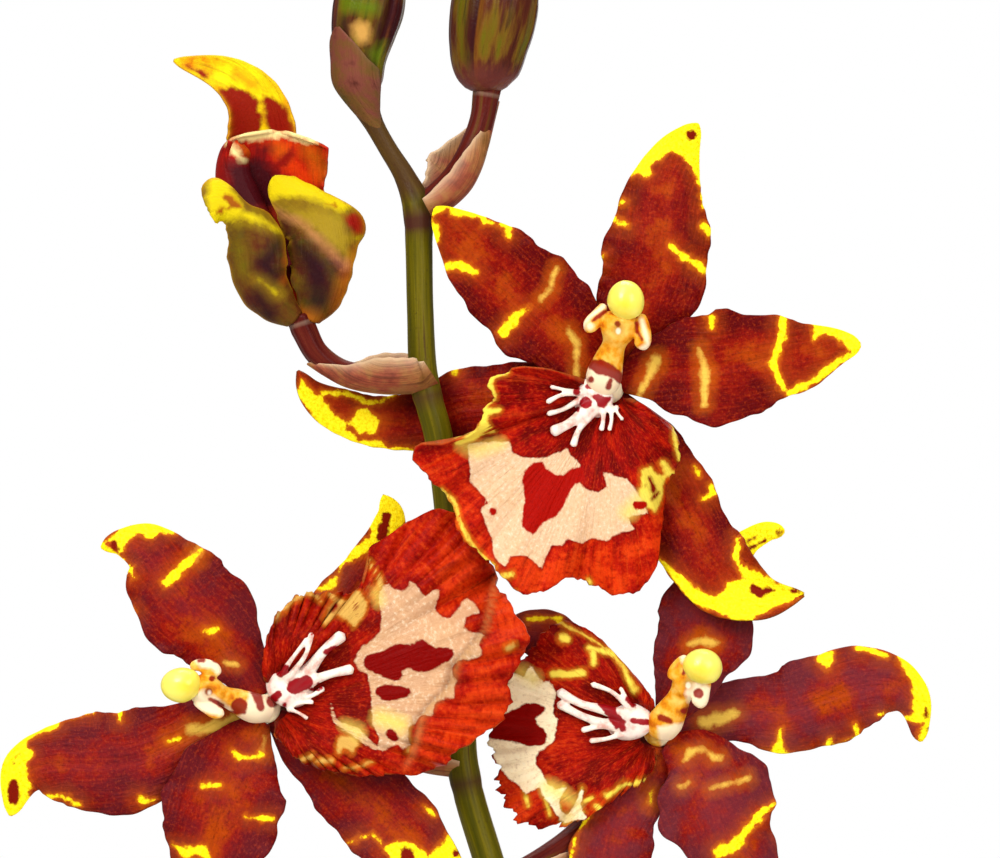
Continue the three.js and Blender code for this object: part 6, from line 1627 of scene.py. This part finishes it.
def build_stem_sheaths(plant):
    material = bract_material(plant)
    for name, (foot, side) in STEM_SHEATHS.items():
        rows = []
        for rise, away, half in zip(SHEATH_RISES, SHEATH_AWAY, SHEATH_HALF_WIDTHS):
            x, y = stem_at(foot + rise)
            rows.append((x + away * side, y, foot + rise, half))
        blade = {"rows": rows, "facing": (-side, 0, 0), "bend": (1.25, 1.2, 0.8)}
        piece, s, t = start_grid(f"{name}_dry", 36, 64)
        places, grain = blade_places(blade, s, t, 0.12)
        finish_sheet(piece, places, 0.6, 0.5, foot, rim=s, grain=grain, fresh=0)
        finish_piece(piece, material, "bract", name)


# How far a stalk's end reaches into its bloom or bud
STALK_REACH = 1.7


def build_stalks(plant):
    material = stalk_material(plant)
    for name, rows in STALKS.items():
        ahead = np.array(rows[-1]) - np.array(rows[-2])
        tip = np.array(rows[-1]) + ahead / np.linalg.norm(ahead[:3]) * STALK_REACH
        rows = [*rows, (*tip[:3], rows[-1][3] * 1.06)]

        def grooved(turn, t):
            return 1 + 0.07 * smooth_step(0.35, 0.9, t) * np.cos(6 * turn) + 0.03 * np.sin(14 * t)

        piece, turn, t, _ = limb_skin(f"stalk_{name}_skin", rows, 36, 72, grooved, rounding=0.03)
        keep_values(piece, pale=near(t - 0.925, 0.009) * 0.3 if "bud" in name else 0)
        finish_piece(piece, material, "stalk", f"stalk_{name}")


def hood_places(s, t):
    """The surface of the hood round the last bud, and each place's millimetres across and along."""
    heights, reach = np.array(HOOD["rows"], dtype=float).T
    height = heights[0] + (heights[-1] - heights[0]) * t
    half_turn = np.radians(np.interp(height, heights, reach))
    bud = through_rows([*STEM[-4:-1], *CLOSED_BUDS[HOOD["bud"]][1:]])
    steps = np.linspace(0, 1, 200)
    shares = np.interp(height, bud(steps)[:, 2], steps)
    here = bud(shares)
    radius = here[:, 3] - 0.2 + (HOOD["away"] + 0.2) * smooth_step(0, 0.3, t)
    turn = np.radians(HOOD["middle"]) + s * half_turn
    x, y = here[:, 0] + radius * np.cos(turn), here[:, 1] + radius * np.sin(turn)
    places = np.column_stack([x, y, height])
    return places, np.column_stack([radius * half_turn * s, height - heights[0]])


def build_bracts(plant):
    material = bract_material(plant)
    for number, name in enumerate([*BRACTS, "bract_last_bud"]):
        piece, s, t = start_grid(f"{name}_papery", 34, 54)
        if name in BRACTS:
            places, grain = blade_places({"bend": BRACT_BEND, **BRACTS[name]}, s, t, 0.06)
        else:
            places, grain = hood_places(s, t)
        thickness, fresh = (0.6, 0) if name in BRACTS else (0.35, 1)
        finish_sheet(piece, places, thickness, 0.5, number * 13, rim=s, grain=grain, fresh=fresh)
        finish_piece(piece, material, "bract", name)


def build_tepals(bloom):
    material = petal_material(bloom)
    for number, (name, form) in enumerate(TEPALS.items()):
        piece, s, t = start_grid(f"{name}_petal", 40, 94)
        blade = {**form, "rows": from_heart(HEARTS[name[:7]], form["rows"])}
        places, grain = blade_places(blade, s, t, bloom.frill)
        places[:, 1] += near(grain[:, 0], 0.7) * 0.22 * np.sin(np.pi * np.clip(t * 1.1, 0, 1))
        finish_sheet(piece, places, 0.7, 0.45, number * 19, rim=s, grain=grain, dusky=PLUM_TINT_AND_SHEEN[name[:7]],
                     **away_from_marks(places, name, "yellow", "amber", "spots"))
        finish_piece(piece, material, "tepal", name)


def build_lips(bloom):
    material = lip_material(bloom)
    for number, (name, lip) in enumerate(LIPS.items()):
        piece, s, t = start_grid(f"{name}_lip_fan", 190, 58)
        places, values = lip_places(HEARTS[name], lip, s, t)
        marks = away_from_marks(places, f"{name}_lip", "yellow", "cream", "blotch", "specks", "amber")
        counterclockwise = lip["outline"][-1][0] > lip["outline"][0][0]
        finish_sheet(piece, places, 0.8, 0.45, number * 23, turned_over=counterclockwise,
                     rim=t, bright=lip["bright"], pale=lip["pale"], **values, **marks)
        finish_piece(piece, material, "lip", f"{name}_lip")


def build_callus():
    material = callus_material()
    for name, callus in CALLUS.items():
        lip, heart = LIPS[name], HEARTS[name]
        swelling = start_ball("swelling", 48, 32)[0]
        centre = place_on_lip(heart, lip, callus["angle"], callus["out"]) - (0, 0.5, 0)
        write_places(swelling, read_places(swelling) * callus["radii"] + centre)
        parts = [swelling]
        for number, (degrees, length, thick) in enumerate(callus["fingers"]):
            rows = []
            for share, swell, height in zip(FINGER_SHARES, FINGER_RADII, FINGER_HEIGHTS):
                sway = 5 * math.sin(5 * share + 2 * number)
                x, y, z = place_on_lip(heart, lip, degrees + sway * share, share * length)
                rows.append((x, y - height, z, thick * swell))
            parts.append(limb_skin("finger", rows, 20, 24, rounding=thick / length)[0])
        piece = melt_together(parts, f"{name}_callus", 0.185, 3)
        places = read_places(piece) / MM
        keep_values(piece, grain=places + 3, **away_from_marks(places, f"{name}_column", "callus_spots"))
        finish_piece(piece, material, "lip", f"{name}_lip")


def build_columns():
    material = column_material()
    for name, column in COLUMNS.items():
        rows = from_heart(HEARTS[name], column["rows"])
        parts = [limb_skin("neck", rows, 40, 44, flatten=0.8, rounding=0.04)[0]]
        for wing in column["wings"]:
            wing_rows = from_heart(HEARTS[name], wing)
            parts.append(limb_skin("wing", wing_rows, 24, 24, flatten=0.7, rounding=0.12)[0])
        heel = start_ball("heel", 40, 28)[0]
        write_places(heel, read_places(heel) * (2.4, 1.6, 2.4) + HEARTS[name] - (0.3, 0.6, 0))
        piece = melt_together([*parts, heel], f"{name}_column_flesh", 0.175, 2)
        places = read_places(piece) / MM
        # The stigma is a sticky hollow in the column's face, under the cap. How far each place is from it
        # sets the painted shade ring and painted glint of the material.
        head, waist = np.array(rows[-2][:3]), np.array(rows[-3][:3])
        hollow = head * 0.85 + waist * 0.15 + (0, -2.1, 0)
        away = np.linalg.norm((places - hollow) * (1, 0.5, 0.8), axis=1)
        places[:, 1] += 0.9 * near(away, 0.9)
        write_places(piece, places)
        marks = away_from_marks(places, f"{name}_column", "cream", "crimson")
        keep_values(piece, grain=places + 7, stigma=away, **marks)
        finish_piece(piece, material, "column", f"{name}_column")


def build_caps(bloom):
    material = cap_material(bloom)
    for name, column in COLUMNS.items():
        (x, y, z), = from_heart(HEARTS[name], [column["cap"]])
        piece = start_ball(f"{name}_anther_cap_dome", 56, 40)[0]
        ball = read_places(piece)
        column_foot = from_heart(HEARTS[name], column["rows"][:1])[0]
        down = np.array([column_foot[0] - x, column_foot[2] - z])
        down /= np.linalg.norm(down)
        towards_neck = ball[:, 0] * down[0] + ball[:, 2] * down[1]
        in_front = ball[:, 1] < 0
        crease = near(ball[:, 0] * down[1] - ball[:, 2] * down[0], 0.09) * in_front
        beak = 1 - 0.13 * smooth_step(0.2, 1, towards_neck)
        form = beak * (1 - 0.03 * crease * smooth_step(-0.7, 0.3, towards_neck))
        places = ball * column["cap_size"] * form[:, None] + (x, y, z)
        write_places(piece, places)
        from_glow = np.linalg.norm(ball[:, [0, 2]] - 0.3 * down, axis=1)
        keep_values(piece, grain=places, glow=near(from_glow, 0.6) * in_front)
        finish_piece(piece, material, "cap", f"{name}_anther_cap")


def build_opening_bud(bloom):
    material = opening_bud_material(bloom)
    kinds = ("green", "khaki", "yellow", "maroon", "pink", "dark", "orange", "amber", "cream")
    for number, (name, form) in enumerate(OPENING_TEPALS.items()):
        piece, s, t = start_grid(f"{name}_petal", 38, 80)
        blade = {**form, "rows": from_heart(OPENING_BUD, form["rows"])}
        places, grain = blade_places(blade, s, t, bloom.frill)
        finish_sheet(piece, places, 0.7, 0.5, number * 29, rim=s, grain=grain, sunny=name.endswith("back"),
                     crimson="inner" in name, golden=np.abs(s) ** 16 * ("inner" not in name),
                     **away_from_marks(places, name, *kinds))
        finish_piece(piece, material, "tepal", form.get("node", name))


def build_closed_buds():
    material = closed_bud_material()
    for name, rows in CLOSED_BUDS.items():
        def round_sepal(turn):
            """How far round its sepal a place is, from 0 at the edge on top to 1 under the next one."""
            return ((turn - SEPAL_EDGE[name]) / (2 * np.pi / 3)) % 1

        def overlapping(turn, t):
            share = round_sepal(turn)
            edge = smooth_step(0, 0.05, share) - 1.3 * near(1 - share, 0.12)
            return 1 + np.sin(np.pi * t) * (0.05 * edge + 0.012 * np.cos(18 * turn))

        piece, turn, t, _ = limb_skin(f"{name}_closed", rows, 108, 64, overlapping, rounding=0.03)
        share = round_sepal(turn)
        above_foot = smooth_step(0, 0.1, t)
        keep_values(piece, shade=near(1 - share, 0.16) * above_foot, edge=near(share, 0.07) * above_foot,
                    foot=smooth_step(0.2, 0.04, t),
                    **away_from_marks(read_places(piece) / MM, name, "green", "yellow", "dark"))
        finish_piece(piece, material, "bud", name)


def build_studio(studio):
    """A pale floor, a soft white surround, soft lamps and the camera that sees what the photograph shows."""
    floor = start_piece("studio_floor", bpy.ops.mesh.primitive_circle_add, vertices=96, radius=2.6,
                        fill_type="NGON", location=(0, 0, -0.0004))
    bpy.ops.object.transform_apply(location=True, rotation=False, scale=False)
    bpy.ops.object.mode_set(mode="EDIT")
    bpy.ops.mesh.select_all(action="SELECT")
    bpy.ops.mesh.inset(thickness=0.4)
    bpy.ops.object.mode_set(mode="OBJECT")
    floor.data.materials.append(floor_material(studio))
    world = bpy.data.worlds.new("white_surround")
    bpy.context.scene.world = world
    world.use_nodes = True
    world.node_tree.nodes.clear()
    seen = add_node(world, "Background", {"Color": (1, 1, 1, 1), "Strength": 1.0})
    lit = add_node(world, "Background", {"Color": (1, 1, 1, 1), "Strength": studio.surround_light})
    ray = add_node(world, "LightPath").outputs["Is Camera Ray"]
    both = add_node(world, "MixShader", {0: ray, 1: lit, 2: seen})
    add_node(world, "OutputWorld", {"Surface": both})
    lamps = {
        "key_softbox": ((-0.5, -1.1, 1.05), 0.5, studio.key_light),
        "fill_softbox": ((0.65, -1.05, 0.8), 0.7, studio.key_light * 0.6),
        "top_softbox": ((0.1, 0.35, 1.35), 0.7, studio.key_light * 0.6),
        "back_softbox": ((0.2, 1.2, 0.6), 0.8, studio.key_light * 0.3),
    }
    target = np.array([0, 0, 0.38])
    for name, (place, size, power) in lamps.items():
        lamp = start_piece(name, bpy.ops.object.light_add, type="AREA", location=place)
        lamp.data.shape, lamp.data.size, lamp.data.energy = "SQUARE", size, power
        away = np.array(place) - target
        lamp.rotation_euler = (math.acos(away[2] / np.linalg.norm(away)), 0,
                               math.atan2(away[1], away[0]) + math.pi / 2)
    sky = start_piece("overhead_panel", bpy.ops.object.light_add, type="SUN", location=(-0.4, -0.6, 1.6),
                      rotation=(math.radians(38), 0, math.radians(-24)))
    sky.data.energy, sky.data.angle = studio.overhead_light, math.radians(35)
    x, y, z = CAMERA
    camera = start_piece("studio_camera", bpy.ops.object.camera_add, location=(x * MM, y * MM, z * MM),
                         rotation=(math.pi / 2, 0, 0))
    camera.data.sensor_width = 36
    camera.data.lens = 36 * -y / (PIXEL * 1000)
    camera.data.dof.use_dof = False
    bpy.context.scene.camera = camera
    bpy.context.scene.view_settings.view_transform = "Standard"


def colour_setting(name, description, colour):
    return FloatVectorProperty(name=name, description=description, subtype="COLOR", size=4, min=0, max=1,
                               default=linear(colour))


class PotSettings(bpy.types.PropertyGroup):
    glaze_colour: colour_setting("Glaze", "Colour of the pot's glaze", "d2c8b2")
    clay_colour: colour_setting("Bare clay", "Colour of the unglazed foot", "c9ab82")


class PlantSettings(bpy.types.PropertyGroup):
    leaf_green: colour_setting("Leaf green", "Main colour of the strap leaves", "3f6b25")
    bulb_green: colour_setting("Bulb green", "Main colour of the pseudobulbs", "7d9440")
    stem_green: colour_setting("Stem green", "Main colour of the flower stem", "524a03")
    stalk_red: colour_setting("Stalk red", "Main colour of the flower stalks", "5a1a10")
    bract_tan: colour_setting("Bract tan", "Main colour of the bracts", "9c6436")
    bark_brown: colour_setting("Bark brown", "Main colour of the bark chips", "6b4226")
    chip_count: IntProperty(name="Bark chips", description="How many loose chips lie on the bark",
                            default=170, min=40, max=400)


class BloomSettings(bpy.types.PropertyGroup):
    petal_red: colour_setting("Petal red", "Main colour of the sepals and petals", "720704")
    petal_orange: colour_setting("Petal orange", "Glow along the middle of the petals", "a03804")
    petal_yellow: colour_setting("Petal yellow", "Colour of the marks and tips of the petals", "ffe414")
    amber: colour_setting("Amber", "Colour along the edges of the yellow marks", "c4600a")
    lip_red: colour_setting("Lip red", "Main colour of the lip", "920904")
    lip_yellow: colour_setting("Lip yellow", "Colour of the lip's margin marks", "ecd24a")
    cream: colour_setting("Lip cream", "Colour of the pale patch on the lip", "dcb28c")
    blotch: colour_setting("Lip blotch", "Colour of the blotches on the lip's cream", "760402")
    cap_colour: colour_setting("Anther cap", "Colour of the anther caps", "efdf44")
    frill: FloatProperty(name="Frill", description="Height in millimetres of the small puckers on petal rims",
                         default=0.22, min=0, max=0.6)


class StudioSettings(bpy.types.PropertyGroup):
    floor_colour: colour_setting("Floor", "Colour of the studio floor", "efefec")
    key_light: FloatProperty(name="Key lamp", description="Power of the main softbox in watts", default=12.5,
                             min=0, subtype="POWER", unit="POWER")
    surround_light: FloatProperty(name="Surround", description="Strength of the light from all round",
                                  default=0.36, min=0, subtype="FACTOR")
    overhead_light: FloatProperty(name="Overhead panel", description="Strength of the broad light from above",
                                  default=1.0, min=0, subtype="FACTOR")


class BuildPot(bpy.types.Operator):
    """Builds the glazed pot"""

    bl_idname = "orchid.build_pot"
    bl_label = "Pot"

    def execute(self, context):
        build_pot(context.scene.orchid_pot)
        return {"FINISHED"}


class BuildBark(bpy.types.Operator):
    """Fills the pot with bark and lays roots over it"""

    bl_idname = "orchid.build_bark"
    bl_label = "Bark and Roots"

    def execute(self, context):
        build_bark(context.scene.orchid_plant)
        build_roots()
        return {"FINISHED"}


class BuildBulbs(bpy.types.Operator):
    """Builds the ridged pseudobulbs and their dry husks"""

    bl_idname = "orchid.build_bulbs"
    bl_label = "Pseudobulbs"

    def execute(self, context):
        build_bulbs(context.scene.orchid_plant)
        build_husks()
        return {"FINISHED"}


class BuildLeaves(bpy.types.Operator):
    """Builds the strap leaves"""

    bl_idname = "orchid.build_leaves"
    bl_label = "Leaves"

    def execute(self, context):
        build_leaves(context.scene.orchid_plant)
        return {"FINISHED"}


class BuildStem(bpy.types.Operator):
    """Builds the flower stem and the dry sheaths on it"""

    bl_idname = "orchid.build_stem"
    bl_label = "Flower Stem"

    def execute(self, context):
        build_stem(context.scene.orchid_plant)
        build_stem_sheaths(context.scene.orchid_plant)
        return {"FINISHED"}


class BuildStalks(bpy.types.Operator):
    """Builds the flower stalks and their bracts"""

    bl_idname = "orchid.build_stalks"
    bl_label = "Stalks and Bracts"

    def execute(self, context):
        build_stalks(context.scene.orchid_plant)
        build_bracts(context.scene.orchid_plant)
        return {"FINISHED"}


class BuildPetals(bpy.types.Operator):
    """Builds the sepals and petals of the open blooms"""

    bl_idname = "orchid.build_petals"
    bl_label = "Sepals and Petals"

    def execute(self, context):
        build_tepals(context.scene.orchid_bloom)
        return {"FINISHED"}


class BuildLips(bpy.types.Operator):
    """Builds the lips of the open blooms with the callus on each"""

    bl_idname = "orchid.build_lips"
    bl_label = "Lips"

    def execute(self, context):
        build_lips(context.scene.orchid_bloom)
        build_callus()
        return {"FINISHED"}


class BuildColumns(bpy.types.Operator):
    """Builds the columns of the open blooms and their anther caps"""

    bl_idname = "orchid.build_columns"
    bl_label = "Columns"

    def execute(self, context):
        build_columns()
        build_caps(context.scene.orchid_bloom)
        return {"FINISHED"}


class BuildBuds(bpy.types.Operator):
    """Builds the opening bud and the closed buds"""

    bl_idname = "orchid.build_buds"
    bl_label = "Buds"

    def execute(self, context):
        build_opening_bud(context.scene.orchid_bloom)
        build_closed_buds()
        return {"FINISHED"}


class BuildStudio(bpy.types.Operator):
    """Sets up the floor, the lamps and the camera"""

    bl_idname = "orchid.build_studio"
    bl_label = "Studio"

    def execute(self, context):
        build_studio(context.scene.orchid_studio)
        return {"FINISHED"}


SETTINGS = {"orchid_pot": PotSettings, "orchid_plant": PlantSettings, "orchid_bloom": BloomSettings,
            "orchid_studio": StudioSettings}
STEPS = (BuildPot, BuildBark, BuildBulbs, BuildLeaves, BuildStem, BuildStalks, BuildPetals, BuildLips,
         BuildColumns, BuildBuds, BuildStudio)


class OrchidPanel(bpy.types.Panel):
    """The orchid's sizes and colours, and a button for each of its parts"""

    bl_idname = "VIEW3D_PT_orchid"
    bl_label = "Potted Orchid"
    bl_space_type = "VIEW_3D"
    bl_region_type = "UI"
    bl_category = "Orchid"

    def draw(self, context):
        for name, group in SETTINGS.items():
            box = self.layout.box()
            for setting in group.__annotations__:
                box.prop(getattr(context.scene, name), setting)
        for step in STEPS:
            self.layout.operator(step.bl_idname)


def register():
    for kind in (*SETTINGS.values(), *STEPS, OrchidPanel):
        bpy.utils.register_class(kind)
    for name, group in SETTINGS.items():
        setattr(bpy.types.Scene, name, PointerProperty(type=group))


def unregister():
    for name in SETTINGS:
        delattr(bpy.types.Scene, name)
    for kind in (OrchidPanel, *STEPS, *SETTINGS.values()):
        bpy.utils.unregister_class(kind)


def main():
    register()
    bpy.ops.orchid.build_pot()
    bpy.ops.orchid.build_bark()
    bpy.ops.orchid.build_bulbs()
    bpy.ops.orchid.build_leaves()
    bpy.ops.orchid.build_stem()
    bpy.ops.orchid.build_stalks()
    bpy.ops.orchid.build_petals()
    bpy.ops.orchid.build_lips()
    bpy.ops.orchid.build_columns()
    bpy.ops.orchid.build_buds()
    bpy.ops.orchid.build_studio()


if __name__ == "__main__":
    main()
